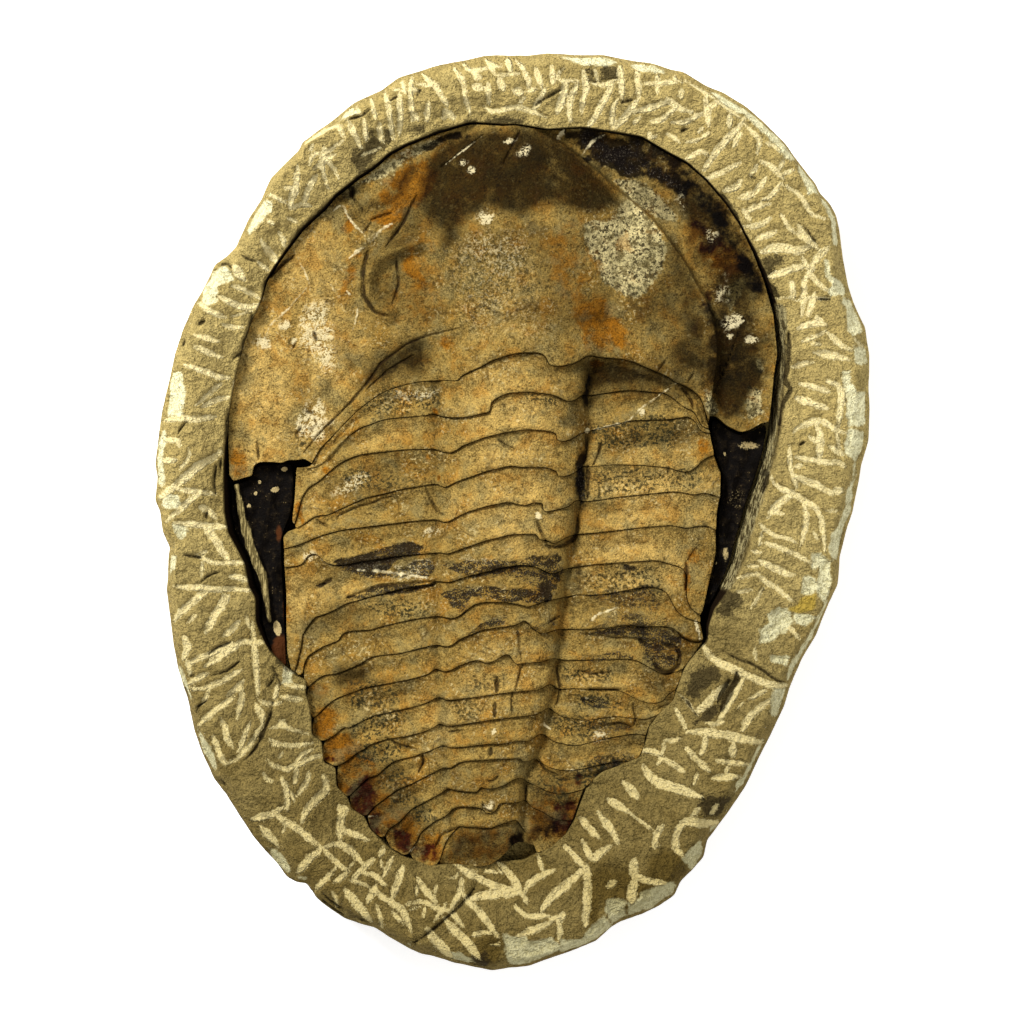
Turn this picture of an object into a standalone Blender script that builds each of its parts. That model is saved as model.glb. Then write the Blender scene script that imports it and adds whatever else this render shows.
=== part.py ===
"""Fossil of a large trilobite, Holmia, lying face up in a hand-chiselled stone slab.

The head end points along +Y and the slab's flat underside rests on z = 0.
Shapes are worked out in millimetres and turned into metres when a mesh is made.
"""

import bmesh
import bpy
import numpy as np

MM = 0.001

# Driving sizes, in millimetres
SLAB_LENGTH = 260.0
SLAB_WIDTH = 202.0
GAP = 0.17
BED_GAP = 0.8
BED_EDGE = 19.0
BED_RISE = 6.0
FOOT_INSET = 24.0
BEVEL = 4.0

# Mesh density
SLAB_SECTORS = 90
EDGE_STEPS = (7, 8, 7)
SEGMENT_ROWS = 2
CEPHALON_ROWS = 9
OUTER_RINGS = 9

# Outline of the slab seen from above, clockwise from the head end
SLAB_OUTLINE = [
    (0, 129.6), (10.2, 130), (20.1, 129.5), (30, 128.7), (40, 127), (48.4, 124.7), (54.3, 121),
    (60, 118.6), (66.5, 114.5), (70, 111.5), (76.8, 104.9), (80, 100.5), (86, 92.7), (90, 87.3),
    (92.6, 80.5), (93.8, 71.2), (95.3, 63.6), (96.7, 59.2), (99.9, 52.4), (101.1, 44.1),
    (100.8, 34.3), (100.7, 20.1), (98.7, 13.3), (98, 8.4), (96.3, 0), (92.8, -12.8), (92.3, -20.6),
    (89.7, -26), (86.2, -34.8), (82.1, -41.6), (78.7, -49.5), (74, -61.7), (70, -70),
    (66.5, -77.6), (61.1, -85.6), (57.2, -91), (54.5, -98), (51.3, -101.7), (47.9, -104.9),
    (46.2, -108.8), (42.1, -111.7), (37.2, -114.1), (31.1, -116.1), (28.3, -117.7),
    (23.7, -121.8), (16.9, -124.5), (10, -126.8), (0, -129.2), (-5.7, -130.1), (-17, -127.7),
    (-26, -125.4), (-34.7, -120.7), (-38.8, -118), (-47.4, -115.3), (-52.8, -111.7),
    (-58.2, -105.1), (-63.7, -103.5), (-70, -95.8), (-78.1, -84.5), (-84.4, -75.7),
    (-87.6, -68.7), (-90.1, -61.8), (-92.1, -52.8), (-94.4, -45.5), (-96.8, -29.7),
    (-97.9, -22), (-97.3, -12.1), (-98.9, -5.7), (-101, 3.4), (-100.3, 9.7), (-101, 13.3),
    (-98.9, 29.2), (-96.9, 37.3), (-92.8, 51.8), (-87.2, 62.8), (-83.8, 70), (-77.9, 75),
    (-74.3, 83.1), (-68.2, 94.4), (-64.1, 98.5), (-59.4, 104.3), (-50, 111.1), (-44.7, 115.6),
    (-37, 119.2), (-32, 122.8), (-25.1, 124.9), (-12.9, 127.8), (-5, 129.3),
]

# Edge of the stone round the fossil, clockwise from the head end
FOSSIL_OUTLINE = [
    (1, 109.7), (10, 108.4), (20, 109), (27.9, 107.8), (36.7, 106.3), (44, 102), (49.9, 98.8),
    (55.2, 94.1), (60.6, 87.8), (64.5, 82), (68.4, 74.2), (71.8, 65.4), (74.3, 56.3), (75.5, 45),
    (74.5, 39), (73.5, 30), (72.5, 22), (71, 15), (69.4, 10), (67.5, 5), (66, 0), (64.1, -6.5),
    (62.6, -12.8), (60.6, -18.2), (58.2, -23.1), (56.2, -27), (55.2, -32), (55.3, -36.8),
    (53, -40), (50.6, -43.5), (49.4, -46), (48, -50), (46.4, -54.5), (42.5, -58), (39.5, -62),
    (38.6, -66), (37, -70.5), (31, -73), (26, -74.8), (22, -78), (20, -83), (18, -88.5),
    (15.6, -92.5), (11.5, -96.2), (7.5, -98), (3.5, -100), (-3.8, -100.4), (-9.3, -101.6),
    (-14.2, -101.4), (-19.4, -101.2), (-24.2, -101.6), (-28, -100), (-31.5, -98.9),
    (-35, -96.8), (-38, -93.9), (-41, -91), (-42.4, -87.6), (-46, -85.5), (-47.5, -81.8),
    (-50.5, -79), (-50.8, -73.5), (-54.2, -72), (-54.8, -66), (-57.6, -64), (-57.9, -59),
    (-58.4, -55.5), (-59.5, -52), (-59.2, -48.4), (-62, -47.4), (-64.3, -45.5), (-68.5, -40),
    (-70, -35.6), (-71.4, -31), (-71.3, -24), (-73.2, -20.7), (-74.3, -14.5), (-77.2, -8.9),
    (-79, -5.7), (-80, 0), (-80.3, 5), (-80.8, 20), (-80.5, 28), (-78.8, 38), (-77.5, 43.5),
    (-75.9, 49), (-74, 54.5), (-71.3, 60), (-69.5, 66), (-64.3, 73.6), (-59.1, 80.4),
    (-52.8, 86.2), (-50, 89.6), (-43.3, 94.8), (-39.3, 97.3), (-34.7, 101.4), (-30, 104),
    (-21.5, 107.5), (-12, 110.2), (-3.4, 109.5),
]

# Hind edge of the head shield, then of each thoracic segment, all from left to right
HIND_EDGES = [
    [(-56.9, 13.8), (-54.6, 17.9), (-49.6, 22.9), (-44.2, 28.5), (-37, 33.7), (-30, 36.2),
     (-20, 37.3), (-15.1, 37.1), (-14.2, 38.6), (-8.4, 41.1), (-2.9, 43.6), (3.4, 44.9),
     (7.9, 44.9), (9.3, 44.1), (10.6, 41.4), (13.3, 41), (19.6, 43), (22.5, 44.5), (26.1, 43.8),
     (32, 43.2), (38.5, 40.8), (45, 37.9), (47.6, 36.4), (51.2, 34.6), (53.3, 32.9),
     (54.4, 30.6), (55.1, 27.6), (55.8, 25)],
    [(-58.4, 12.2), (-55.6, 12.7), (-52, 15.4), (-46, 21.9), (-40, 24.9), (-34.6, 26.5),
     (-24.2, 27.4), (-20, 27.1), (-13.3, 26.7), (-7.5, 28), (-6.1, 28.4), (-5.9, 31),
     (-1.1, 33.5), (4.7, 33.9), (12.4, 32.8), (16, 31), (18.3, 31.9), (20, 33.3),
     (24.8, 33.4), (31.3, 34.4), (37.8, 34.3), (43, 33.9), (48.9, 29.8), (52, 28.3),
     (53.5, 25.2), (55.9, 23.7)],
    [(-61.9, -3.4), (-60.4, 2), (-59.1, 5.4), (-55.1, 8.6), (-50, 13.1), (-43.8, 16.1),
     (-35.6, 17.2), (-21.9, 17.9), (-20, 17.1), (-17.4, 16.7), (-13.8, 18.8), (-7.5, 21.1),
     (-1.6, 22.5), (4.7, 23.3), (12.6, 22.2), (12.6, 20.3), (14.7, 19.9), (18.8, 21.9),
     (23.5, 23.3), (33.3, 25.9), (41.7, 26.1), (49.9, 27.1), (52.5, 25.3), (54, 22.7),
     (56.3, 22.4)],
    [(-61, -4.6), (-58.1, -2.7), (-56.4, -1.4), (-52.5, -0.9), (-48.2, 1.1), (-42.1, 3.8),
     (-33.8, 5.7), (-23.6, 7.8), (-21.5, 8), (-18.8, 6.8), (-15.1, 8.7), (-7.2, 11.5),
     (0, 13.1), (10, 12.5), (12.9, 11.6), (12.7, 9.9), (15.4, 10.1), (20.5, 13.2),
     (27, 13.3), (37.8, 13.2), (44.2, 12.6), (50.5, 11.4), (52.9, 13.1), (55, 15.2),
     (57.4, 16.2)],
    [(-64.9, -10.5), (-57.5, -8.1), (-51.9, -6), (-46.2, -4.9), (-33.8, -3.4), (-21.7, -2.1),
     (-20.1, -2.9), (-18, -2.8), (-12.2, 0.1), (-6.8, 1.7), (-1.3, 2.8), (3.7, 1.7),
     (8.9, 2.4), (8.6, 0.8), (9.5, -0.1), (15.8, 1.4), (18.3, 3.5), (24.5, 3.3), (34.2, 4.6),
     (45.8, 5.8), (52.1, 4.8), (56.6, 5.1), (59.1, 4)],
    [(-64.8, -15.8), (-60.4, -15.3), (-58.1, -12.4), (-54.6, -12.9), (-50.4, -15.3),
     (-43, -14.2), (-31.7, -12.5), (-23.8, -11.7), (-20.1, -11.5), (-18.4, -12),
     (-12.2, -9.8), (-7.6, -8.2), (-1.2, -6.6), (7, -6.3), (8, -7.9), (11.6, -9),
     (16.6, -6.7), (25.3, -5.8), (38.2, -4.3), (45.4, -3.8), (49.7, -4.7), (53.5, -3.9),
     (58, -5.2)],
    [(-62, -45.4), (-60, -37.9), (-58.7, -33.3), (-55.8, -29.8), (-50, -27.7), (-43, -25),
     (-33, -22.3), (-23, -20.4), (-18, -20), (-10, -17.6), (-2, -15.6), (6, -15.3),
     (11, -17.6), (17.1, -15.7), (27.9, -14.5), (40, -13.8), (46.2, -15.2), (49.6, -17.3),
     (49.7, -21.9), (51.2, -27.8), (53.5, -29.4)],
    [(-59.5, -45.6), (-58.1, -41), (-53.7, -38.3), (-49.2, -36.6), (-47.5, -34.2),
     (-40, -33.6), (-31.7, -31.4), (-22.1, -29.7), (-18.4, -30.2), (-15.3, -29.8),
     (-10.9, -26.3), (-4.5, -25), (2.1, -26.2), (4.6, -27), (10, -25), (18.7, -23.5),
     (27.4, -23.3), (37.8, -21.3), (44, -22.8), (47, -28.3), (53.6, -31.5)],
    [(-58, -49.8), (-55, -47.3), (-50, -46.1), (-43.8, -43.6), (-37.9, -40.9), (-28, -39.3),
     (-20.9, -37.7), (-18, -38.2), (-13.8, -35.6), (-8, -33.3), (1, -32), (3.7, -30.8),
     (6.2, -33.3), (10.4, -34.1), (18.2, -33.3), (31.2, -32.3), (45, -32.8), (48.9, -36),
     (54.2, -37)],
    [(-56.4, -58.6), (-54.1, -56.4), (-50, -53.1), (-42.1, -50.1), (-34.2, -48.6),
     (-25.9, -46.8), (-20.5, -44.9), (-15.1, -43.7), (-9.5, -41.9), (-7.2, -42.9),
     (-2.5, -40.5), (1.2, -43.3), (8.7, -42.4), (12, -41.6), (20, -42.2), (31.2, -41.7),
     (37, -43), (43, -46.3), (48.6, -44.8)],
    [(-53.2, -65.1), (-50, -63.1), (-46.7, -61.7), (-42.1, -59.2), (-34.2, -56.9),
     (-26.3, -54.9), (-21.3, -52.7), (-18, -53.5), (-10, -52.3), (0, -51), (7.1, -50.5),
     (10, -48.9), (13, -50.5), (22.5, -50.4), (30.8, -50.8), (38.1, -54.3), (43.2, -53.8),
     (46.6, -50.8)],
    [(-49.6, -72.3), (-46.2, -70.3), (-41.3, -67.1), (-33.8, -64.3), (-25.1, -62.6),
     (-20.5, -60), (-18, -60.9), (-10, -59.6), (0, -58.1), (8.3, -56.8), (10.4, -55.4),
     (14.2, -58.3), (22.5, -59.2), (30, -58.2), (38, -59.2), (41.2, -58)],
    [(-46.2, -80.9), (-42.9, -77.6), (-37.9, -74.7), (-33.4, -70.9), (-25.9, -68.8),
     (-19.6, -66.3), (-16.3, -67), (-6.6, -65.7), (2.9, -64.8), (7.5, -63), (11.7, -65.3),
     (19.3, -66.4), (26, -64.7), (32.7, -63.5), (38, -63.7)],
    [(-41.2, -86.4), (-37.9, -83), (-32.5, -79), (-25.1, -75.6), (-19.2, -72.8),
     (-15.1, -71.2), (-8.8, -70.3), (2.5, -69.9), (6.5, -69.9), (12.4, -73.3),
     (19.5, -73.3), (27, -71.6), (35.4, -70.7)],
    [(-36.2, -92.4), (-33.9, -89.5), (-30, -86.1), (-25.5, -83), (-18.2, -78.5),
     (-9.8, -79.6), (-8.8, -77.8), (-2.1, -77.6), (2.1, -75.4), (8.3, -78.8), (13, -80.3),
     (20.2, -79.1)],
    [(-29.2, -97.2), (-26.6, -92.2), (-21.7, -87.9), (-15.1, -83.8), (-8.2, -84.2),
     (-5.8, -85.7), (-3.8, -83), (2.9, -82.1), (7.9, -84.9), (12.5, -87.6), (17, -88.1)],
    [(-21.6, -100.6), (-19.2, -95), (-15.9, -90.4), (-13.7, -89.4), (-5.8, -89.9),
     (0.4, -87.6), (3.3, -90.6), (7, -97)],
]

# Outer ends of the segments, front to back, from each hind edge to the next
LEFT_ENDS = [
    [(-57.8, 12.7)], [(-61.4, 13), (-61.9, 3.3), (-62.6, -3)], [(-61.8, -4.6)],
    [(-63.8, -5.4), (-65.2, -7), (-65, -9.7)], [(-64.9, -15)],
    [(-64.3, -24), (-64.3, -33), (-64, -40), (-62.8, -45.6)], [(-60.6, -46.9)],
    [(-58.9, -49.4)], [(-58.7, -52.4), (-57.5, -57.8)],
    [(-57.1, -61.5), (-56.8, -63.8), (-54.2, -65.3)],
    [(-54.1, -67.4), (-54, -70.6), (-50.8, -72.4)], [(-50, -75.9), (-49.6, -79), (-47.4, -81.2)],
    [(-46, -84.5), (-42.2, -86.8)], [(-40.6, -90.2), (-37.4, -92.9)], [(-34.6, -95.8), (-30.6, -98)],
    [(-28, -99.4), (-23.2, -101.1)],
]
RIGHT_ENDS = [
    [(56, 24.4)], [(56.3, 23.1)], [(56.8, 19.7), (57.4, 17)],
    [(58.1, 14), (59.4, 11), (59.2, 4.8)], [(58.3, 0), (58.1, -4.4)],
    [(58.1, -11.4), (55.9, -21.1), (54.2, -28.6)], [(53.9, -30.8)], [(54.6, -36.2)],
    [(52.3, -39.8), (49.3, -44)], [(48.2, -47), (46.9, -50)], [(45.8, -54), (41.9, -57.4)],
    [(39, -61), (38.2, -63)], [(37.6, -67), (36, -70.2)], [(31, -72.3), (25, -74.5), (20.8, -78.5)],
    [(19, -82.5), (17.4, -87.4)], [(15.2, -92), (11.2, -95.6), (7.7, -96.8)],
]

# Remaining edges of the head shield, the spines and the tail shield
CEPHALON_LEFT = [(-79.2, 8.6), (-75.4, 9.8), (-73.6, 13.2), (-71.8, 14.2), (-64.1, 14.7), (-59.1, 15.2)]
CEPHALON_RIGHT = [(56.5, 27.2), (58, 27.3), (61.3, 24.4), (65, 22.6), (69.4, 24.2), (73, 25.6)]
DOME_EDGE = [
    (0, 109.2), (4.7, 109), (13.8, 104.8), (20.1, 100), (26, 95.2), (36.7, 86.3), (42.1, 80.5),
    (49.4, 70.7), (52, 65), (55.7, 59.7), (57.2, 53.8), (58.2, 49), (58.4, 44), (57.5, 38),
]
EYE_RIDGE = [(-27.6, 76), (-35, 74), (-40.1, 69.9), (-41.5, 64), (-40.6, 59.5), (-35, 56.5)]
LEFT_SPINE_INNER = [
    (-78.9, 7.9), (-75.2, 9), (-73.3, 12.4), (-71.7, 13.5), (-64.2, 14), (-62.6, 13), (-62.3, 8),
    (-62.5, 3.3), (-63.4, -1), (-65, -4.8), (-65.9, -8), (-65.7, -15), (-65.3, -24), (-64.9, -33),
    (-64.7, -39), (-64.5, -43.5),
]
RIGHT_SPINE_INNER = [
    (72.3, 24.6), (69.4, 23.5), (65, 21.9), (61.1, 23.8), (58, 26.5), (56.9, 26.2), (57.1, 20.5),
    (58.4, 15.5), (60, 11.5), (60, 5), (59.1, 0), (58.7, -6), (58.7, -11.5), (57.8, -16.3),
    (56.3, -21.6), (54.9, -26.6),
]
TAIL_HIND = [
    (-20.6, -100.9), (-19, -101.2), (-13.3, -100.6), (-9.3, -101.1), (-6, -100.4), (-3.3, -98.6),
    (-0.8, -95.9), (0.2, -94.2), (2.2, -92.5), (3.4, -91.8),
]

# Furrows either side of the axis, as (y, x of the left one, x of the right one)
FURROWS = [(-100, -15, 3), (-88, -16.5, 3.5), (-75, -18.6, 4.2), (-66, -19.6, 8.5), (-57, -20.4, 10.8),
           (-40, -21.4, 13.6), (-20, -21.8, 15.6), (0, -21.6, 18.6), (22, -21.8, 21.6), (45, -21, 22.6)]

# Height of the stone at the fossil's edge and width of its wall, by compass angle in degrees
EDGE_HEIGHTS = [(-180, 29.6), (-150, 28.2), (-120, 25.6), (-90, 24.8), (-62, 25.4), (-38, 27.4),
                (-22, 30.4), (30, 30.8), (60, 30.6), (90, 31), (135, 30.4), (180, 29.6)]
WALL_WIDTHS = [(-180, 1.8), (-158, 1.8), (-148, 0.7), (-40, 0.7), (-28, 3.4), (-8, 4.4), (26, 4.2),
               (40, 1.8), (50, 0.8), (165, 0.7), (174, 1.8), (180, 1.8)]

# sRGB colours and roughness of each kind of piece
COLOURS = {
    "matrix_slab": ((0.62, 0.55, 0.36), 0.92),
    "cephalon": ((0.50, 0.40, 0.20), 0.72),
    "genal_spine": ((0.07, 0.055, 0.035), 0.6),
    "thorax_segment": ((0.57, 0.46, 0.23), 0.75),
    "pygidium": ((0.36, 0.27, 0.08), 0.72),
}


def soften(points, step=0.5, passes=3):
    """A line through the points at an even step, with its corners rounded a little."""
    points = np.array(points, float)
    run = np.concatenate([[0.0], np.cumsum(np.hypot(*np.diff(points, axis=0).T))])
    along = np.linspace(0.0, run[-1], max(3, int(run[-1] / step) + 1))
    line = np.stack([np.interp(along, run, points[:, k]) for k in range(2)], axis=1)
    for _ in range(passes):
        line[1:-1] = (line[:-2] + 2 * line[1:-1] + line[2:]) / 4
    return line


def spread(line, count):
    """The line again as a number of evenly spaced points."""
    run = np.concatenate([[0.0], np.cumsum(np.hypot(*np.diff(line, axis=0).T))])
    along = np.linspace(0.0, run[-1], count)
    return np.stack([np.interp(along, run, line[:, k]) for k in range(2)], axis=1)


def shift(line, amount):
    """The line moved sideways, to the left of its direction of travel for a positive amount."""
    way = np.gradient(line, axis=0)
    way /= np.hypot(way[:, 0], way[:, 1])[:, None] + 1e-9
    return line + amount * np.stack([-way[:, 1], way[:, 0]], axis=1)


def nearest(line, x, y):
    """Distance to the line, and which side of it: positive to the left of its travel."""
    best = np.full(np.shape(x), 1e9)
    side = np.zeros(np.shape(x))
    for (ax, ay), (bx, by) in zip(line[:-1], line[1:]):
        ex, ey = bx - ax, by - ay
        t = np.clip(((x - ax) * ex + (y - ay) * ey) / (ex * ex + ey * ey + 1e-12), 0, 1)
        gap = np.hypot(x - ax - t * ex, y - ay - t * ey)
        closer = gap < best
        best = np.where(closer, gap, best)
        side = np.where(closer, ex * (y - ay) - ey * (x - ax), side)
    return best, np.sign(side)


def ease(a, b, value):
    """A smooth step from 0 at a to 1 at b."""
    t = np.clip((value - a) / (b - a), 0, 1)
    return t * t * (3 - 2 * t)


def by_angle(table, angle):
    """A value read from a table of (degrees, value) round the slab."""
    degrees, values = np.array(table, float).T
    return np.interp(np.degrees(angle), degrees, values, period=360)


def furrow_places(y):
    """The x of the furrows left and right of the axis."""
    places = np.array(FURROWS, float)
    return np.interp(y, places[:, 0], places[:, 1]), np.interp(y, places[:, 0], places[:, 2])


def bed_height(x, y):
    """The broad vault on which all the fossil's pieces lie."""
    return BED_EDGE + BED_RISE * np.exp(-((x / 42.0) ** 2) - ((y - 20) / 150.0) ** 2)


def thorax_height(x, y):
    """The thorax without its steps: a raised axis between two flatter side lobes."""
    left, right = furrow_places(y)
    middle, half = (left + right) / 2, (right - left) / 2
    across = np.clip((x - middle) / half, -1, 1)
    floor = np.interp(y, [-100, -60, 0, 45], [24.6, 26.6, 28.4, 29.6])
    arch = np.interp(y, [-100, -88, -60, 0, 45], [2.2, 2.8, 4.8, 6.4, 7.4])
    rise = arch * (1 - np.abs(across) ** np.where(across < 0, 2.0, 3.4))
    out = np.maximum(np.maximum(left - x, x - right), 0)
    fall = 3.6 * (out / 42) ** 1.8
    groove = 0.7 * np.exp(-(((x - left) / 2.4) ** 2)) + 1.5 * np.exp(-(((x - right) / 1.9) ** 2))
    return floor + rise - fall - groove


def cephalon_height(x, y):
    """The head shield: a domed glabella, soft on its left and dropping off sharply on its right."""
    spread_left = np.interp(y, [40, 60, 85, 110], [34, 40, 36, 22])
    broad = np.exp(-(((x - 6) / np.where(x < 6, spread_left, 60)) ** 2))
    front = 1 - 0.62 * ease(78, 112, y)
    half = np.interp(y, [40, 55, 85, 110], [22, 24, 30, 16])
    lobe = np.clip(1 - (np.abs(x - 3) / half) ** 2.6, 0, 1)
    height = 26.6 + (5.6 * broad + 5.0 * lobe) * front
    gap, side = nearest(soften(DOME_EDGE, 2.0), x, y)
    beyond = 26.0 + 1.2 * ease(6, 16, gap)
    outside = np.where(side > 0, ease(-0.8, 1.2, gap), 0) * ease(112, 104, y)
    height += (np.minimum(height, beyond) - height) * outside
    eye, _ = nearest(soften(EYE_RIDGE, 2.0), x, y)
    height += 1.5 * np.exp(-((eye / 2.0) ** 2))
    hind, _ = nearest(soften(HIND_EDGES[0], 2.0), x, y)
    fold = 0.9 * np.exp(-(((hind - 2.5) / 3.0) ** 2)) - 0.9 * np.exp(-(((hind - 9.5) / 2.4) ** 2))
    return height + fold * (np.abs(x) < 62) * ease(-4, 4, 60 - y)


def segment_height(x, y, along):
    """One segment's top, where along runs from 0 at its front to 1 at its hind edge."""
    left, right = furrow_places(y)
    out = np.maximum(np.maximum(left - x, x - right), 0)
    trough = ease(3, 9, out) * ease(38, 24, out)
    lift = -0.7 + 2.0 * np.asarray(along) ** 0.8 - 0.7 * ease(0.9, 1.0, along)
    return thorax_height(x, y) + lift - 0.6 * trough * np.exp(-(((along - 0.5) / 0.2) ** 2))


def tail_height(x, y):
    """The small tail shield, lower toward its hind edge."""
    return thorax_height(x, y) - 0.6 + 0.8 * ease(-88, -92, y) - 1.4 * ease(-96, -101, y)


def spine_height(x, y):
    """The sunken black cast of a cheek spine."""
    return 22.6 + 0.35 * np.sin(0.9 * x + 0.31 * y) + 0.3 * np.sin(0.23 * y - 1.1 * x)


def outline_reach(outline, angles, window=0.0):
    """How far an outline lies from the origin at each angle, the farthest within a window."""
    line = soften(outline + outline[:1], 0.5, 2)
    turn, far = np.arctan2(line[:, 1], line[:, 0]), np.hypot(line[:, 0], line[:, 1])
    order = np.argsort(turn)
    turn, far = turn[order], far[order]
    offsets = np.linspace(-window, window, 9 if window else 1)
    return np.max([np.interp(angles + o, turn, far, period=2 * np.pi) for o in offsets], axis=0)


def paint(piece, kind):
    """Gives the piece its own plain material."""
    (red, green, blue), roughness = COLOURS[kind]
    material = bpy.data.materials.new(piece.name)
    material.use_nodes = True
    shader = material.node_tree.nodes["Principled BSDF"]
    linear = [(c / 12.92 if c <= 0.04045 else ((c + 0.055) / 1.055) ** 2.4) for c in (red, green, blue)]
    shader.inputs["Base Color"].default_value = (*linear, 1)
    shader.inputs["Roughness"].default_value = roughness
    shader.inputs["Metallic"].default_value = 0.0
    material.diffuse_color = (*linear, 1)
    piece.data.materials.append(material)


def keep(bm, name, kind, collection):
    """Turns the finished bmesh, in millimetres, into a named object."""
    bmesh.ops.scale(bm, vec=(MM, MM, MM), verts=bm.verts)
    bmesh.ops.recalc_face_normals(bm, faces=bm.faces)
    mesh = bpy.data.meshes.new(name)
    bm.to_mesh(mesh)
    bm.free()
    piece = bpy.data.objects.new(name, mesh)
    collection.objects.link(piece)
    paint(piece, kind)


def patch(front, hind, left, right):
    """Points filling the area inside four lines: rows from front to hind, each from left to right.

    The bulge of each end line dies away within a few columns of it.
    """
    u = np.linspace(0, 1, len(front))[None, :, None]
    v = np.linspace(0, 1, len(left))[:, None, None]
    spots = (1 - v) * front[None] + v * hind[None]
    for line, end, fade in ((left, 0, (1 - u) ** 12), (right, -1, u ** 12)):
        across = v[:, 0]
        fitted = line + (1 - across) * (front[end] - line[0]) + across * (hind[end] - line[-1])
        chord = (1 - across) * front[end] + across * hind[end]
        spots = spots + fade * (fitted - chord)[:, None, :]
    return spots


def plate(name, kind, lines, top, collection):
    """A shell inside its front, hind, left and right lines, raised from a gridded sheet."""
    front, hind, left, right = lines
    rows, columns = len(left) - 1, len(front) - 1
    spots = patch(front, hind, left, right)
    bm = bmesh.new()
    bmesh.ops.create_grid(bm, x_segments=columns, y_segments=rows, size=1.0)
    under = list(bm.verts)
    lifted = bmesh.ops.extrude_face_region(bm, geom=list(bm.faces), use_keep_orig=True)
    over = [v for v in lifted["geom"] if isinstance(v, bmesh.types.BMVert)]
    for verts, upper in ((under, False), (over, True)):
        column = [round((v.co.x + 1) / 2 * columns) for v in verts]
        row = [round((1 - v.co.y) / 2 * rows) for v in verts]
        x, y = spots[row, column].T
        z = top(x, y, np.array(row) / rows) if upper else bed_height(x, y)
        for vert, place in zip(verts, zip(x, y, z)):
            vert.co = place
    keep(bm, name, kind, collection)


def hind_edge(number, counts):
    """A hind edge with set numbers of steps left of the axis, across it and right of it."""
    line = soften(HIND_EDGES[number])
    left, right = furrow_places(line[:, 1])
    first = int(np.argmax(line[:, 0] > left))
    last = len(line) - 1 - int(np.argmax((line[:, 0] < right)[::-1]))
    spans = zip(((0, first), (first, last), (last, len(line) - 1)), counts)
    pieces = [spread(line[a:b + 1], count + 1) for (a, b), count in spans]
    return np.concatenate([pieces[0], pieces[1][1:], pieces[2][1:]])


def add_segments(collection):
    """The sixteen segments of the thorax, each lying behind the one before."""
    for number in range(1, len(HIND_EDGES)):
        before, after = HIND_EDGES[number - 1], HIND_EDGES[number]
        left = soften(before[:1] + LEFT_ENDS[number - 1] + after[:1])
        right = soften(before[-1:] + RIGHT_ENDS[number - 1] + after[-1:])
        lines = (shift(hind_edge(number - 1, EDGE_STEPS), -GAP), shift(hind_edge(number, EDGE_STEPS), GAP),
                 shift(spread(left, SEGMENT_ROWS + 1), GAP), shift(spread(right, SEGMENT_ROWS + 1), -GAP))
        plate(f"thorax_segment_{number:02d}", "thorax_segment", lines, segment_height, collection)


def add_cephalon(collection):
    """The head shield, from its rim back to its hind edge."""
    left, right = soften(CEPHALON_LEFT + HIND_EDGES[0][:1]), soften(HIND_EDGES[0][-2:-1] + CEPHALON_RIGHT)
    back = hind_edge(0, EDGE_STEPS)[:-1]
    hind = np.concatenate([spread(left, 6)[:-1], back, spread(right, 7)])
    rim = soften([(-80.4, 10.4)] + FOSSIL_OUTLINE[80:] + FOSSIL_OUTLINE[:15] + [(73.4, 28)])
    front = shift(spread(rim, len(hind)), -GAP)
    hind = shift(hind, 1.3 * GAP)
    ends = [spread(np.array([front[k], hind[k]]), CEPHALON_ROWS + 1) for k in (0, -1)]
    plate("cephalon", "cephalon", (front, hind, *ends),
          lambda x, y, along: cephalon_height(x, y), collection)


def add_spines(collection):
    """The black casts of the cheek spines, in the hollows beside the thorax."""
    left_outer = [(-80, 6.4)] + FOSSIL_OUTLINE[70:79][::-1] + [(-65.2, -43.8)]
    right_outer = [(72.6, 22.9)] + FOSSIL_OUTLINE[17:25] + [(56.4, -26.2)]
    for name, inner, outer, sign in (
        ("genal_spine_left", LEFT_SPINE_INNER, left_outer, 1),
        ("genal_spine_right", RIGHT_SPINE_INNER, right_outer, -1),
    ):
        outer = shift(spread(soften(outer), 15), 2 * GAP * sign)
        inner = shift(spread(soften(inner), 15), -2 * GAP * sign)
        ends = [spread(np.array([outer[k], inner[k]]), 3) for k in (0, -1)]
        plate(name, "genal_spine", (outer, inner, *ends), lambda x, y, along: spine_height(x, y), collection)


def add_pygidium(collection):
    """The tail shield, behind the last segment."""
    front = shift(spread(soften([(-20.9, -99.6)] + HIND_EDGES[-1][1:-1] + [(3.9, -91.2)]), 13), -2 * GAP)
    hind = shift(spread(soften(TAIL_HIND), 13), GAP)
    ends = [spread(np.array([front[k], hind[k]]), 5) for k in (0, -1)]
    plate("pygidium", "pygidium", (front, hind, *ends), lambda x, y, along: tail_height(x, y), collection)


def slab_levels():
    """Rings of the slab from the middle of its bed, out over the rim and under to the foot."""
    return [("bed", 0.0), ("bed", 0.3), ("bed", 0.6), ("bed", 0.85), ("bed", 1.0), ("wall", 1.0),
            ("border", 0.0), ("border", 0.3), ("border", 0.65), ("border", 1.0), ("rim", 1.0),
            ("side", 0.45), ("foot", 1.0), ("foot", 0.5), ("foot", 0.0)]


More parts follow.
